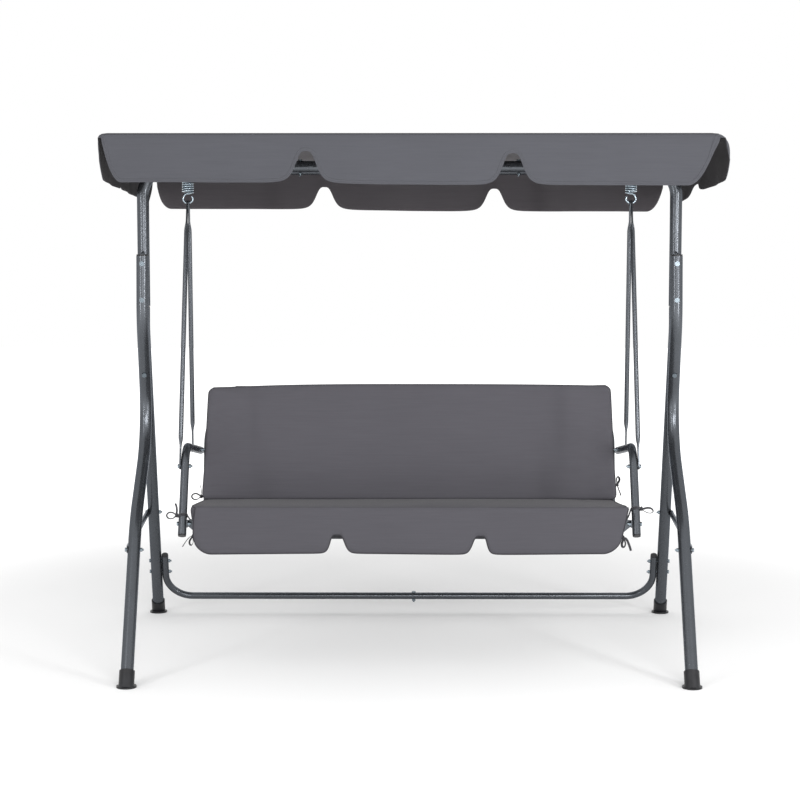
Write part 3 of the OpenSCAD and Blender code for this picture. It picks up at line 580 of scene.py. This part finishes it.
# How each end of a valance is cut, towards -X or -Y and then +X or +Y: (start, reach, cut, power)
VALANCE_ENDS = {
    "front": ((0, 0.057, swept_cut, 2.2), (0, 0.083, swept_cut, 2.0)),
    "rear": ((0, 0.052, round_cut, 2.1), (0, 0.056, round_cut, 2.1)),
    "left": ((0.02, 0.03, round_cut, 2), (0, 0.13, round_cut, 1.5)),
    "right": ((0.02, 0.035, round_cut, 2), (0, 0.13, round_cut, 1.5)),
}
# Where a side valance is slit, the slit's half width and depth, and how much it deepens to the rear
SIDE_SLITS = {"left": (-0.178, 0.01, 0.006, -0.004), "right": (0.03, 0.08, 0.03, 0.02)}
SHORTEST = 0.013


def valance_drop(edge, u, half):
    """Height of the valance at u along an edge of this half length."""
    start, reach, cut, power = VALANCE_ENDS[edge][u > 0]
    share = clamped(1 - (half - abs(u) - start) / reach)
    if edge in ("front", "rear"):
        drop = VALANCE_H + 0.0065 * u + 0.0015 * math.sin(u * 5.1 + 0.9)
        deep = 0.086 if edge == "front" else 0.074
        for notch_x in (-FRONT_NOTCH_X, FRONT_NOTCH_X):
            drop -= notch_depth(u - notch_x, 0.031, 3.6, deep)
    else:
        place, half_way, deep, growth = SIDE_SLITS[edge]
        drop = 0.1235 + growth * max(u, 0) / half - notch_depth(u - place, half_way, 3.2, deep)
    return drop - (drop - SHORTEST) * cut(share, power)


def perimeter(step):
    """Points round the canopy's edge: (x, y, outward, edge name, place along it, its half length)."""
    corner, corner_steps = 0.02, 10
    edges, halves = ("front", "right", "rear", "left"), (CANOPY_X, CANOPY_Y)
    loop = []
    for k, edge in enumerate(edges):
        axis, other = k % 2, (k + 1) % 2
        half, deep = halves[axis], halves[other]
        outward = Vector(((0, -1), (1, 0), (0, 1), (-1, 0))[k])
        ahead = Vector((-outward.y, outward.x))
        start = outward * deep - ahead * (half - corner)
        end = outward * deep + ahead * (half - corner)
        count = max(2, int((end - start).length / step))
        for i in range(count):
            p = start.lerp(end, i / count)
            loop.append((p.x, p.y, outward, edge, p[axis], half))
        middle = end - outward * corner
        for i in range(corner_steps):
            angle = math.pi / 2 * (k - 1 + i / corner_steps)
            turned = Vector((math.cos(angle), math.sin(angle)))
            x, y = middle + turned * corner
            short = abs(i / corner_steps - 0.5) * 2 * corner
            if i < corner_steps / 2:
                loop.append((x, y, turned, edge, math.copysign(half - short, end[axis]), half))
            else:
                place = math.copysign(deep - short, end[other])
                loop.append((x, y, turned, edges[(k + 1) % 4], place, deep))
    return loop


def top_sag(x, y):
    """The cloth dips a little between the rails and lies on them."""
    across = math.sin(math.pi * min(abs(x) / (CANOPY_X - 0.02), 1))
    deep = math.cos(math.pi / 2 * min(abs(y) / (CANOPY_Y - 0.015), 1))
    return 0.009 * across**2 * deep


def side_lean(x, y, down):
    """The loose side valances belly out from their shoulders, most at the front."""
    ahead = 0.5 - 0.5 * y / CANOPY_Y
    share = down / 0.115
    if x > 0:
        belly = 0.038 * (1 - math.exp(-down / 0.014)) - 0.005 * share**4
        return belly * (0.55 + 0.45 * ahead)
    belly = 0.014 * (1 - math.exp(-down / 0.008)) - 0.008 * share**1.6
    return belly * (0.7 + 0.3 * ahead)


def valance_point(x, y, outward, _edge, place, half, down, proud=0.0):
    """A point of the hanging cloth, with soft folds that grow downwards."""
    down = max(down, 0.0)
    share = down / VALANCE_H
    folds = 0.003 * math.sin(place * 17 + 0.4) + 0.0015 * math.sin(place * 41 + 1.3)
    end = 0.006 * share * math.exp(-(((half - abs(place)) / 0.07) ** 2))
    flat_lean = 0.006 * (1 - math.exp(-down / 0.02)) + 0.003 * share**1.4 - end
    sideways = outward.x**2
    lean = flat_lean * (1 - sideways) + side_lean(x, y, down) * sideways + folds * share**1.2 + proud
    return in_canopy(x + outward.x * lean, y + outward.y * lean, CANOPY_TOP - down)


CANOPY_FILLET = 0.011


def add_canopy():
    loop = perimeter(0.005)
    fillet, fillet_steps = CANOPY_FILLET, 4
    top_rows, skirt_rows = 26, 20
    rows = []
    for i in range(top_rows + 1):
        grow = (i + 1) / (top_rows + 1)
        row = []
        for x, y, outward, *_ in loop:
            px, py = (x - outward.x * fillet) * grow, (y - outward.y * fillet) * grow
            row.append(in_canopy(px, py, CANOPY_TOP - top_sag(px, py)))
        rows.append(row)
    for i in range(1, fillet_steps + 1):
        angle = math.pi / 2 * i / fillet_steps
        inset = fillet * (1 - math.sin(angle))
        down = fillet * (1 - math.cos(angle))
        rows.append([valance_point(*point, down, -inset) for point in loop])
    drops = [valance_drop(*point[3:]) for point in loop]
    for i in range(1, skirt_rows + 1):
        downs = [fillet + (drop - fillet) * i / skirt_rows for drop in drops]
        rows.append([valance_point(*point, down) for point, down in zip(loop, downs)])
    count = len(loop)
    verts = [p for row in rows for p in row]
    middle = len(verts)
    verts.append(in_canopy(0, 0, CANOPY_TOP - top_sag(0, 0)))
    faces = [(a, d, c, b) for a, b, c, d in grid_faces(len(rows), count, wrapped=True)]
    faces += [(middle, j, (j + 1) % count) for j in range(count)]
    finishes = [CANOPY_OUT, CANOPY_IN, CANOPY_OUT, SHADED_SIDE_LINING]
    canopy = new_piece("canopy_cover", verts, faces, finishes, "canopy_cloth")
    # Faces of the side valances: their inner faces take the darker lining, which is painted shade
    for j, point in enumerate(loop):
        if point[3] in SIDE_SLITS:
            for i in range(top_rows, len(rows) - 1):
                canopy.data.polygons[i * count + j].material_index = 2
    shell = thicken(canopy, CLOTH_THICK, -1)
    shell.material_offset = 1
    shell.material_offset_rim = 0

    hem = add_hem(loop, drops)
    seam = add_top_seam(loop)
    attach(canopy, "canopy")
    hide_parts("canopy_fabric")


# Hem of the valances: distance from the edge and how proud it stands, with a row of stitching
HEM_ROWS = (
    (-0.0004, -0.0008), (-0.0006, 0.0004), (0.001, 0.0011), (0.0031, 0.001), (0.0036, 0.0003),
    (0.0041, 0.001), (0.008, 0.0009), (0.009, 0.0001),
)


def add_hem(loop, drops):
    """A turned hem that follows every scallop of the valances at an even width."""
    count = len(loop)
    places = [0.0]
    for a, b in zip(loop, loop[1:] + loop[:1]):
        places.append(places[-1] + math.dist(a[:2], b[:2]))
    around = places[-1]

    def on_cloth(s, down, proud):
        s %= around
        low, high = 0, count
        while high - low > 1:
            mid = (low + high) // 2
            low, high = (mid, high) if places[mid] <= s else (low, mid)
        share = (s - places[low]) / (places[low + 1] - places[low])
        a, b = loop[low], loop[(low + 1) % count]
        return valance_point(*a, down, proud).lerp(valance_point(*b, down, proud), share)

    verts = []
    for j in range(count):
        before, after = (j - 2) % count, (j + 2) % count
        run = (places[after] - places[before]) % around
        slope = Vector((run, drops[after] - drops[before])).normalized()
        inward = Vector((slope.y, -slope.x))
        for reach, proud in HEM_ROWS:
            verts.append(on_cloth(places[j] + inward.x * reach, drops[j] + inward.y * reach, proud))
    faces = [
        tuple(n % len(verts) for n in (a, d, c, b))
        for a, b, c, d in grid_faces(count + 1, len(HEM_ROWS))
    ]
    hem = new_piece("canopy_hem", verts, faces, [LIT_CANOPY_HEM], "canopy_cloth")
    thicken(hem, 0.0006, -1)
    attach(hem, "canopy")
    return hem


def add_top_seam(loop):
    """Stitched welt where the top panel meets the valances."""
    inset, down = CANOPY_FILLET * 0.3, CANOPY_FILLET * 0.28
    route = [valance_point(*point, down, -inset) for point in loop]
    seam = piping("canopy_seam", route, 0.0014, "canopy_cloth", 6, closed=True)
    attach(seam, "canopy")
    return seam


# ---------- springs ----------

SPRING_X = size("spring_eyes").x / 2 - 0.0175
SPRING_Y = centre("spring_eyes").y
SPRING_WIRE = 0.0055
COIL_TURNS = 4.75
COIL_LOW, COIL_HIGH = 1.379, 1.409
COIL_R = 0.01525
RING_Z, RING_R = 1.417, 0.011
HOOK_Z, HOOK_R = 1.3605, 0.01425
# Millimetres from the spring's axis: in from the coil's top to its ring, and from its hook to its foot
LEAD_IN = ((5.5, -13.6, 0.4), (9, -9.5, 0.6), (9.3, -4.5, 0), (6.5, -0.8, -1.2), (2.5, -0.6, -2.2))
LEAD_OUT = ((3, -1.6, 0.1), (7.5, -5, 0.9), (11.8, -6.5, 2), (14.6, -3.6, 3.4))


def spring_route(side):
    """Hook, coil and ring as one wire, from the open end of the hook up."""
    route = []
    for i in range(33):
        angle = math.radians(385 - 295 * i / 32)
        route.append(Vector((-side * HOOK_R * math.cos(angle), 0, HOOK_Z + HOOK_R * math.sin(angle))))
    top = HOOK_Z + HOOK_R
    route += [Vector((-side * x * MM, y * MM, top + z * MM)) for x, y, z in LEAD_OUT]
    steps = int(COIL_TURNS * 36)
    for i in range(steps + 1):
        turn = 2 * math.pi * i / 36
        height = COIL_LOW + (COIL_HIGH - COIL_LOW) * i / steps
        route.append(Vector((-side * COIL_R * math.cos(turn), COIL_R * math.sin(turn), height)))
    route += [Vector((-side * x * MM, y * MM, COIL_HIGH + z * MM)) for x, y, z in LEAD_IN]
    for i in range(25):
        angle = math.radians(-100 - 285 * i / 24)
        route.append(Vector((0, RING_R * math.cos(angle), RING_Z + RING_R * math.sin(angle))))
    return route


def add_springs():
    for word, side in SIDES:
        x, y = side * SPRING_X, SPRING_Y
        route = smooth_route([p + Vector((x, y, 0)) for p in spring_route(side)], 2)
        outline = circle(SPRING_WIRE / 2, 12)
        wire = loft("spring_wire_" + word, route, (0, 1, 0), lambda i: outline, [ZINC], "zinc_steel")
        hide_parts("spring_" + word, "spring_hook_" + word)
        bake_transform(wire)


# ---------- rods with pressed ends ----------


def pressed_section(place, length, round_d, flat_w, flat_t, flats, ease):
    """Outline of a tube pressed flat at its ends: flats gives the flat length at each end."""
    from_end = min(place - flats[0], length - place - flats[1])
    share = eased(from_end / ease)
    width = flat_w + (round_d - flat_w) * share
    thick = flat_t + (round_d - flat_t) * share
    tip = min(place, length - place)
    if tip < flat_w / 2:
        width *= math.sqrt(max(0.02, 1 - (1 - tip / (flat_w / 2)) ** 2))
    return width, thick


def add_pressed_rod(name, node, a, b, first, round_d, flat_w, flat_t, flats, ease, body):
    """a and b are the hole centres; the rod runs half a flat's width past each."""
    along = (b - a).normalized()
    start, end = a - along * flat_w / 2, b + along * flat_w / 2
    length = (end - start).length
    ends = [flat + flat_w / 2 for flat in flats]
    places = [flat_w / 2 * (1 - math.cos(math.pi / 2 * i / 6)) for i in range(7)]
    places += [flat_w / 2 + (max(ends) + ease) * i / 14 for i in range(1, 15)]
    places += [length - p for p in reversed(places)]
    route = [start + along * p for p in places]

    def section(i):
        width, thick = pressed_section(places[i], length, round_d, flat_w, flat_t, ends, ease)
        return rounded_bar(width, thick, 24)

    rod = loft(name, route, first, section, [COAT], "powder_coated_steel")
    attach(rod, body)
    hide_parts(node)
    return rod


HANG_TOP_Z = 1.3451
HANGER = {"round_d": 0.014, "flat_w": 0.018, "flat_t": 0.0046}


def add_hangers():
    low_x = ARM_X + 0.0146
    for word, side in SIDES:
        for end, offset in (("front", 0.0025), ("rear", -0.0025)):
            low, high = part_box(f"hanger_{end}_{word}")
            foot_y = low[1] + 0.009 if end == "front" else high[1] - 0.009
            top = Vector((side * (SPRING_X + offset), SPRING_Y, HANG_TOP_Z))
            foot = Vector((side * low_x, foot_y, low[2] + 0.009))
            rod = add_pressed_rod(
                f"hanger_rod_{end}_{word}", f"hanger_{end}_{word}", top, foot, (0, 1, 0),
                flats=(0.053, 0.056), ease=0.032, body="seat", **HANGER,
            )
            drill(rod, top, Vector((1, 0, 0)), 0.005)


def drill(obj, at, axis, radius):
    """Cuts a round hole through a piece."""
    bpy.ops.mesh.primitive_cylinder_add(vertices=32, radius=radius, depth=0.05, location=at)
    tool = bpy.context.object
    tool.rotation_euler = axis.to_track_quat("Z", "Y").to_euler()
    cut = obj.modifiers.new("hole", "BOOLEAN")
    cut.operation = "DIFFERENCE"
    cut.solver = "EXACT"
    cut.object = tool
    apply_all(obj)
    bpy.data.objects.remove(tool)
    obj.data.shade_smooth()
    obj.data.set_sharp_from_angle(angle=math.radians(35))


def apply_all(obj):
    """Bakes an object's modifiers into its mesh."""
    bpy.context.view_layer.update()
    graph = bpy.context.evaluated_depsgraph_get()
    baked = bpy.data.meshes.new_from_object(obj.evaluated_get(graph), depsgraph=graph)
    obj.modifiers.clear()
    obj.data = baked


def add_side_braces():
    for word, side in SIDES:
        low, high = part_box("side_brace_" + word)
        outer = abs(high[0]) if side > 0 else abs(low[0])
        inner = abs(low[0]) if side > 0 else abs(high[0])
        front = Vector((side * (inner + 0.0016), low[1] + 0.012, low[2] + 0.0102))
        rear = Vector((side * (outer - 0.0145), high[1] - 0.012, high[2] - 0.0102))
        add_pressed_rod(
            "side_brace_rod_" + word, "side_brace_" + word, front, rear, (0, 0, 1),
            round_d=0.016, flat_w=0.0205, flat_t=0.003, flats=(0.014, 0.014), ease=0.04, body="frame",
        )


# ---------- slings ----------


def add_sling(name, node, corner, across, along, width, length, wrap_r, sag, wrap_ends):
    """Stretched mesh between two tubes, rolled round them at both ends of its length."""
    normal = across.cross(along).normalized()
    lift = wrap_r + 0.0012
    profile = []
    turns = 9
    if wrap_ends[0]:
        for i in range(turns):
            angle = math.pi * (1.25 - 0.75 * i / (turns - 1))
            profile.append((lift * math.cos(angle), lift * math.sin(angle)))
    for i in range(41):
        t = i / 40
        profile.append((length * t, lift - sag * math.sin(math.pi * t)))
    if wrap_ends[1]:
        for i in range(turns):
            angle = math.pi / 2 - math.pi * 0.75 * i / (turns - 1)
            profile.append((length + lift * math.cos(angle), lift * math.sin(angle)))
    cols = 48
    verts = []
    for place, height in profile:
        for j in range(cols + 1):
            u = j / cols
            pull = 0.006 * math.sin(math.pi * u) * math.sin(math.pi * clamped(place / length))
            verts.append(corner + across * (width * u) + along * place + normal * (height - pull))
    sling = new_piece(name, verts, grid_faces(len(profile), cols + 1), [SLING], "sling_mesh")
    tidy_normals(sling)
    thicken(sling, 0.0011, 0)
    run = sum(math.dist(a, b) for a, b in zip(profile, profile[1:]))
    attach(sling, "seat")
    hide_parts(node)
    return sling, run


SEAT_TUBE_R = 0.012
SEAT_TILT = math.radians(5)
BACK_TILT = math.radians(11)
SEAT_AT = Vector((0, -0.292, 0.393))
HINGE_ALONG = 0.412
SEAT_ALONG = Vector((0, math.cos(SEAT_TILT), -math.sin(SEAT_TILT)))
BACK_AT = SEAT_AT + SEAT_ALONG * HINGE_ALONG
BACK_ALONG = Vector((0, math.sin(BACK_TILT), math.cos(BACK_TILT)))


def add_slings():
    half = size("seat_frame").x / 2 - 0.03
    corner = SEAT_AT + Vector((-half, 0, 0))
    across = Vector((1, 0, 0))
    sling, run = add_sling(
        "seat_sling_cloth", "seat_sling", corner, across, SEAT_ALONG, 2 * half, 0.388,
        SEAT_TUBE_R, 0.004, (True, False),
    )
    half = size("back_sling").x / 2 - 0.083
    low, high = 0.045, 0.418
    corner = BACK_AT + BACK_ALONG * low + Vector((-half, 0, 0))
    sling, run = add_sling(
        "back_sling_cloth", "back_sling", corner, across, BACK_ALONG, 2 * half, high - low,
        SEAT_TUBE_R, 0.003, (False, True),
    )


# ---------- cushions ----------


def pad_block(name, width, length, thick, corner, edge):
    """Closed block, x centred, y from 0, z from 0, with rounded corners and softened rims."""
    work = bmesh.new()
    arc = 6
    outline = []
    for cx, cy, first in (
        (width / 2 - corner, corner, -90),
        (width / 2 - corner, length - corner, 0),
        (corner - width / 2, length - corner, 90),
        (corner - width / 2, corner, 180),
    ):
        for i in range(arc + 1):
            angle = math.radians(first + 90 * i / arc)
            at = (cx + corner * math.cos(angle), cy + corner * math.sin(angle), 0)
            outline.append(work.verts.new(at))
    base = work.faces.new(outline)
    raised = bmesh.ops.extrude_face_region(work, geom=[base])["geom"]
    lid = [v for v in raised if isinstance(v, bmesh.types.BMVert)]
    bmesh.ops.translate(work, verts=lid, vec=(0, 0, thick))
    rims = [e for e in work.edges if abs(e.verts[0].co.z - e.verts[1].co.z) < 1e-6]
    bmesh.ops.bevel(work, geom=rims, offset=edge, segments=4, profile=0.5, affect="EDGES")
    bmesh.ops.recalc_face_normals(work, faces=work.faces)
    mesh = bpy.data.meshes.new(name)
    work.to_mesh(mesh)
    work.free()
    return put(name, mesh)


def fine_skin(block, voxel):
    """Even quads all over the block."""
    modifier = block.modifiers.new("skin", "REMESH")
    modifier.mode = "VOXEL"
    modifier.voxel_size = voxel
    modifier.use_smooth_shade = True
    apply_all(block)


def swell(block, half, seam_gap, cap, pressure=4.0):
    """Inflates the cover by cloth simulation. It is held at its seams, and no point moves past the cap."""
    mesh = block.data
    rest = [v.co.copy() for v in mesh.vertices]
    seams = block.vertex_groups.new(name="seams")
    middle = Vector((0, half.y, half.z))
    held = []
    for vertex in mesh.vertices:
        near = [abs((vertex.co - middle)[k]) > half[k] - seam_gap for k in range(3)]
        if sum(near) >= 2:
            held.append(vertex.index)
    seams.add(held, 1.0, "REPLACE")
    cloth = block.modifiers.new("cloth", "CLOTH")
    settings = cloth.settings
    settings.quality = 4
    settings.mass = 0.25
    settings.tension_stiffness = settings.compression_stiffness = 12
    settings.shear_stiffness = 5
    settings.bending_stiffness = 1.5
    settings.use_pressure = True
    settings.uniform_pressure_force = pressure
    settings.effector_weights.gravity = 0
    settings.vertex_group_mass = "seams"
    cloth.collision_settings.use_collision = False
    cloth.point_cache.frame_start = 1
    cloth.point_cache.frame_end = 20
    scene = bpy.context.scene
    for moment in range(1, 21):
        scene.frame_set(moment)
    graph = bpy.context.evaluated_depsgraph_get()
    swollen = block.evaluated_get(graph).data
    moved = [v.co.copy() for v in swollen.vertices]
    block.modifiers.clear()
    scene.frame_set(1)
    for vertex, start, end in zip(mesh.vertices, rest, moved):
        step = end - start
        if step.length > cap:
            step *= cap / step.length
        vertex.co = start + step


def relax(mesh, rounds):
    """Laplacian smoothing, so that the capped swelling has no hard rim."""
    work = bmesh.new()
    work.from_mesh(mesh)
    for _ in range(rounds):
        bmesh.ops.smooth_vert(
            work, verts=work.verts, factor=0.5, use_axis_x=True, use_axis_y=True, use_axis_z=True
        )
    work.to_mesh(mesh)
    work.free()


def sewn_pad(name, pad, corner, cap, shape, settle):
    """A pad cut to shape, swollen and settled: shape and settle each move one point."""
    block = pad_block(name, *pad, corner, 0.013)
    fine_skin(block, 0.006)
    for vertex in block.data.vertices:
        vertex.co = shape(vertex.co)
    swell(block, Vector(pad) / 2, 0.011, cap)
    relax(block.data, 3)
    for vertex in block.data.vertices:
        vertex.co = settle(vertex.co)
    return block


def finish_pad(block, place, node):
    """Moves the pad into the seat, subdivides it once and gives it its cloth."""
    block.data.transform(place)
    fine = block.modifiers.new("fine", "SUBSURF")
    fine.levels = fine.render_levels = 1
    apply_all(block)
    block.data.materials.clear()
    block.data.materials.append(CUSHION)
    block.data.shade_smooth()
    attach(block, "seat")
    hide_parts(node)


def panel_seam(name, pad_points, place, radius):
    """A piped seam laid along a closed line of points."""
    route = smooth_route([place @ p for p in pad_points], 3, closed=True)
    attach(piping(name, route, radius, "cushion_cloth", closed=True), "seat")


def surface_line(block, guide, reach):
    """The pad's own surface next to each guide point, so that a seam lies on the cloth."""
    found = []
    for p in guide:
        hit, at, normal, _ = block.closest_point_on_mesh(p)
        found.append(at + normal * reach if hit else p)
    return found


def rim_guide(width, length, height, corner, inset):
    """Closed rounded rectangle at one height, a little inside the pad's edge."""
    points = []
    w, l0, l1, r = width / 2 - inset, inset, length - inset, corner
    arcs = (
        (w - r, l0 + r, -90), (w - r, l1 - r, 0), (r - w, l1 - r, 90), (r - w, l0 + r, 180),
    )
    for k, (cx, cy, first) in enumerate(arcs):
        for i in range(7):
            angle = math.radians(first + 15 * i)
            points.append(Vector((cx + r * math.cos(angle), cy + r * math.sin(angle), height)))
        nx, ny, after = arcs[(k + 1) % 4]
        start = points[-1]
        angle = math.radians(after)
        stop = Vector((nx + r * math.cos(angle), ny + r * math.sin(angle), height))
        count = max(2, int((stop - start).length / 0.02))
        points += [start.lerp(stop, i / count) for i in range(1, count)]
    return points


SEAT_PAD = (1.26, 0.412, 0.064)
SEAT_PAD_FRONT = -0.0155
POST_INNER = 0.638
SEAT_PAD_LOW = 0.0152
BACK_PAD = (1.23, 0.362, 0.062)
BACK_PAD_LOW = 0.072
BACK_PAD_REAR = -0.0152


def seat_place():
    turn = Matrix.Rotation(-SEAT_TILT, 4, "X")
    lift = Matrix.Translation((0, SEAT_PAD_FRONT, SEAT_PAD_LOW))
    return Matrix.Translation(SEAT_AT) @ turn @ lift


def back_place():
    """The back pad is made lying down: its y runs up the back and its z towards the front."""
    turn = Matrix.Rotation(-BACK_TILT, 4, "X")
    stand = Matrix.Rotation(math.radians(90), 4, "X")
    lift = Matrix.Translation((0, BACK_PAD_REAR, BACK_PAD_LOW))
    return Matrix.Translation(BACK_AT) @ turn @ lift @ stand


def end_share(co, width):
    """How far into a pad's last tenth a point lies, from 0 to 1 at its end."""
    return clamped((abs(co.x) / (width / 2) - 0.9) / 0.1) ** 1.5


def seat_shape(co):
    """The seat pad narrows to its lower front edge and waves a little."""
    _, length, thick = SEAT_PAD
    co.x *= 1 - 0.022 * clamped(1 - co.z / thick) ** 1.4 * clamped(1 - co.y / 0.16)
    co.y += 0.004 * math.sin(co.x * 9 + 0.7) * (1 - co.y / length) * co.z / thick
    co.z += 0.0025 * math.sin(co.x * 6.3 + 0.5) * math.sin(math.pi * co.y / length)
    return co


def seat_settle(co):
    """Draws the swollen pad's ends out and up, inside the posts, and keeps it on its sling."""
    width, length, thick = SEAT_PAD
    out = end_share(co, width)
    ahead = 1 - clamped(co.y / length)
    co.x += math.copysign(0.0045 * out, co.x)
    co.z += (0.002 + 0.006 * ahead) * out * clamped(co.z / thick)
    if co.y < 0.07:
        co.x = clamped(co.x, -POST_INNER, POST_INNER)
    co.z = max(co.z, -0.0005)
    co.y = max(co.y, -0.004)
    return co


def add_seat_cushion():
    block = sewn_pad("seat_pad", SEAT_PAD, 0.028, 0.010, seat_shape, seat_settle)
    line = surface_line(block, rim_guide(*SEAT_PAD, 0.024, 0.005), 0.0004)
    finish_pad(block, seat_place(), "seat_cushion")
    panel_seam("seat_pad_seam", line, seat_place(), 0.0013)


def back_shape(co):
    """The back pad's outline: narrower at the top, with a crowned upper edge."""
    width, length, _ = BACK_PAD
    up = clamped(co.y / length)
    co.x *= 1 + 0.038 * (1 - up)
    droop = 0.013 if co.x < 0 else 0.005
    co.y -= (0.002 + droop * min(abs(co.x) / (width / 2), 1.0) ** 3) * up
    return co


def pull_corner(co):
    """Draws the swollen pad's upper corners back out to their seams, the right one further."""
    width, length, _ = BACK_PAD
    out = end_share(co, width)
    side = clamped((co.y / length - 0.3) / 0.7)
    top = clamped((co.y / length - 0.85) / 0.15)
    outward = (0.0075 if co.x > 0 else 0.0065) * out * side
    return co + Vector((math.copysign(outward, co.x), 0.0045 * out * top, 0))


def back_settle(co):
    co = pull_corner(co)
    co.z = max(co.z, -0.0005)
    return co


def add_back_cushion():
    width, length, thick = BACK_PAD
    block = sewn_pad("back_pad", BACK_PAD, 0.02, 0.012, back_shape, back_settle)
    rim = rim_guide(width + 0.004, length + 0.004, thick - 0.004, 0.02, 0.0)
    guide = [pull_corner(back_shape(p + Vector((0, -0.002, 0)))) for p in rim]
    line = surface_line(block, guide, 0.0)
    finish_pad(block, back_place(), "back_cushion")
    panel_seam("back_pad_seam", line, back_place(), 0.0009)


FLAP_HALF = 0.616
FLAP_TOP = 0.478
FLAP_H = 0.135
FLAP_NOTCH_X = 0.206
FLAP_Y = -0.3185


def flap_drop(x):
    """Height of the flap at x: rounded lower corners and two arched notches."""
    gap = FLAP_HALF - abs(x)
    radius = 0.045
    drop = FLAP_H
    if gap < radius:
        drop -= radius - math.sqrt(max(0.0, radius**2 - (radius - gap) ** 2))
    for notch_x in (-FLAP_NOTCH_X, FLAP_NOTCH_X):
        drop -= notch_depth(x - notch_x, 0.023, 5, 0.053)
    return drop + 0.0015 * math.sin(x * 7)


def flap_side(x, down):
    """The flap's right end slants in towards the bottom, its left end bulges a little."""
    share = down / FLAP_H
    if x > 0:
        return x * (1.019 - 0.047 * share)
    return x * (0.993 + 0.012 * math.sin(math.pi * min(share, 1)))


def flap_front(x, s, drop):
    """How far the padded front stands out of the flap's middle plane."""
    edge = min(s * drop, (1 - s) * drop + 0.002, FLAP_HALF - abs(x) + 0.002) / 0.022
    crown = 0.006 * (1 - (1 - min(edge, 1)) ** 2)
    return 0.0025 + crown + 0.0012 * math.sin(x * 13 + 1) * math.sin(math.pi * s)


def add_flap():
    cols, rows = 360, 26
    front, rear = [], []
    for i in range(rows + 1):
        s = i / rows
        for j in range(cols + 1):
            x = FLAP_HALF * (2 * j / cols - 1)
            drop = flap_drop(x)
            down = drop * s
            out = flap_front(x, s, drop)
            place = Vector((flap_side(x, down), 0, FLAP_TOP - down))
            front.append(place + Vector((0, FLAP_Y - out, 0)))
            rear.append(place + Vector((0, FLAP_Y + 0.0015, 0)))
    verts = front + rear
    base = len(front)
    wide = cols + 1
    faces = []
    for a, b, c, d in grid_faces(rows + 1, wide):
        faces.append((a, d, c, b))
        faces.append((base + a, base + b, base + c, base + d))
    rim = list(range(wide))
    rim += [i * wide + cols for i in range(1, rows + 1)]
    rim += [rows * wide + j for j in range(cols - 1, -1, -1)]
    rim += [i * wide for i in range(rows - 1, 0, -1)]
    for a, b in zip(rim, rim[1:] + rim[:1]):
        faces.append((a, b, base + b, base + a))
    # The flap takes the darker copy of the cushion cloth, painted shade
    flap = new_piece("seat_flap_pad", verts, faces, [SHADED_FLAP_CLOTH], "cushion_cloth")
    tidy_normals(flap)
    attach(flap, "seat")
    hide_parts("seat_flap")
    edge = [verts[i * wide] for i in range(1, rows + 1)]
    edge += [verts[rows * wide + j] for j in range(1, cols + 1)]
    edge += [verts[i * wide + cols] for i in range(rows - 1, 0, -1)]
    edge = [p + Vector((0, 0.001, 0)) for p in edge]
    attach(piping("seat_flap_piping", edge, 0.0021, "cushion_cloth"), "seat")


# ---------- floor and light ----------


def add_floor():
    floor = put("floor", bpy.data.meshes.new("floor"))
    work = bmesh.new()
    bmesh.ops.create_grid(work, x_segments=1, y_segments=1, size=14)
    work.to_mesh(floor.data)
    work.free()
    paper = Finish("studio_paper", Specular_IOR_Level=0.1)
    tone = paper.noise(0.8, 2)
    paper.colour(paper.ramp(tone, ((0.3, (0.8, 0.8, 0.8)), (0.7, (0.82, 0.82, 0.82)))))
    paper.roughness(tone, 0.85, 0.95)
    distance = paper.node("ShaderNodeVectorMath", operation="LENGTH")
    paper.link(paper.place, distance.inputs[0])
    glow = paper.node("ShaderNodeMapRange", interpolation_type="SMOOTHSTEP")
    for socket, value in (("From Min", 1.5), ("From Max", 3.6), ("To Max", 0.6)):
        glow.inputs[socket].default_value = value
    paper.link(distance.outputs["Value"], glow.inputs["Value"])
    paper.shader.inputs["Emission Color"].default_value = (1, 1, 1, 1)
    paper.link(glow.outputs["Result"], paper.shader.inputs["Emission Strength"])
    floor.data.materials.append(paper.material)


def add_area_light(name, at, target, width, height, watts):
    light = bpy.data.lights.new(name, "AREA")
    light.shape = "RECTANGLE"
    light.size, light.size_y = width, height
    light.energy = watts
    lamp = put(name, light)
    lamp.location = at
    lamp.rotation_euler = (Vector(target) - Vector(at)).to_track_quat("-Z", "Y").to_euler()


def add_light():
    scene = bpy.context.scene
    scene.view_settings.view_transform = "Standard"
    world = bpy.data.worlds.new("studio")
    world.use_nodes = True
    world.node_tree.nodes["Background"].inputs["Color"].default_value = (1, 1, 1, 1)
    world.node_tree.nodes["Background"].inputs["Strength"].default_value = 1.0
    scene.world = world
    add_area_light("key_front", (1.0, -5.6, 2.3), (0, 0, 0.8), 3.0, 1.8, 230)
    add_area_light("key_left", (-3.2, -4.2, 3.6), (0, 0, 0.7), 1.8, 1.8, 30)
    add_area_light("strip_left", (-3.0, -3.6, 1.1), (0, 0, 0.8), 0.2, 2.4, 45)
    add_area_light("strip_right", (2.9, -3.2, 1.2), (0, 0, 0.8), 0.2, 2.4, 75)


add_camera()
for tie in TIES:
    add_tie(*tie)
add_bands()
finish_frame()
add_canopy()
add_springs()
add_hangers()
add_side_braces()
add_slings()
add_seat_cushion()
add_back_cushion()
add_flap()
add_floor()
add_light()
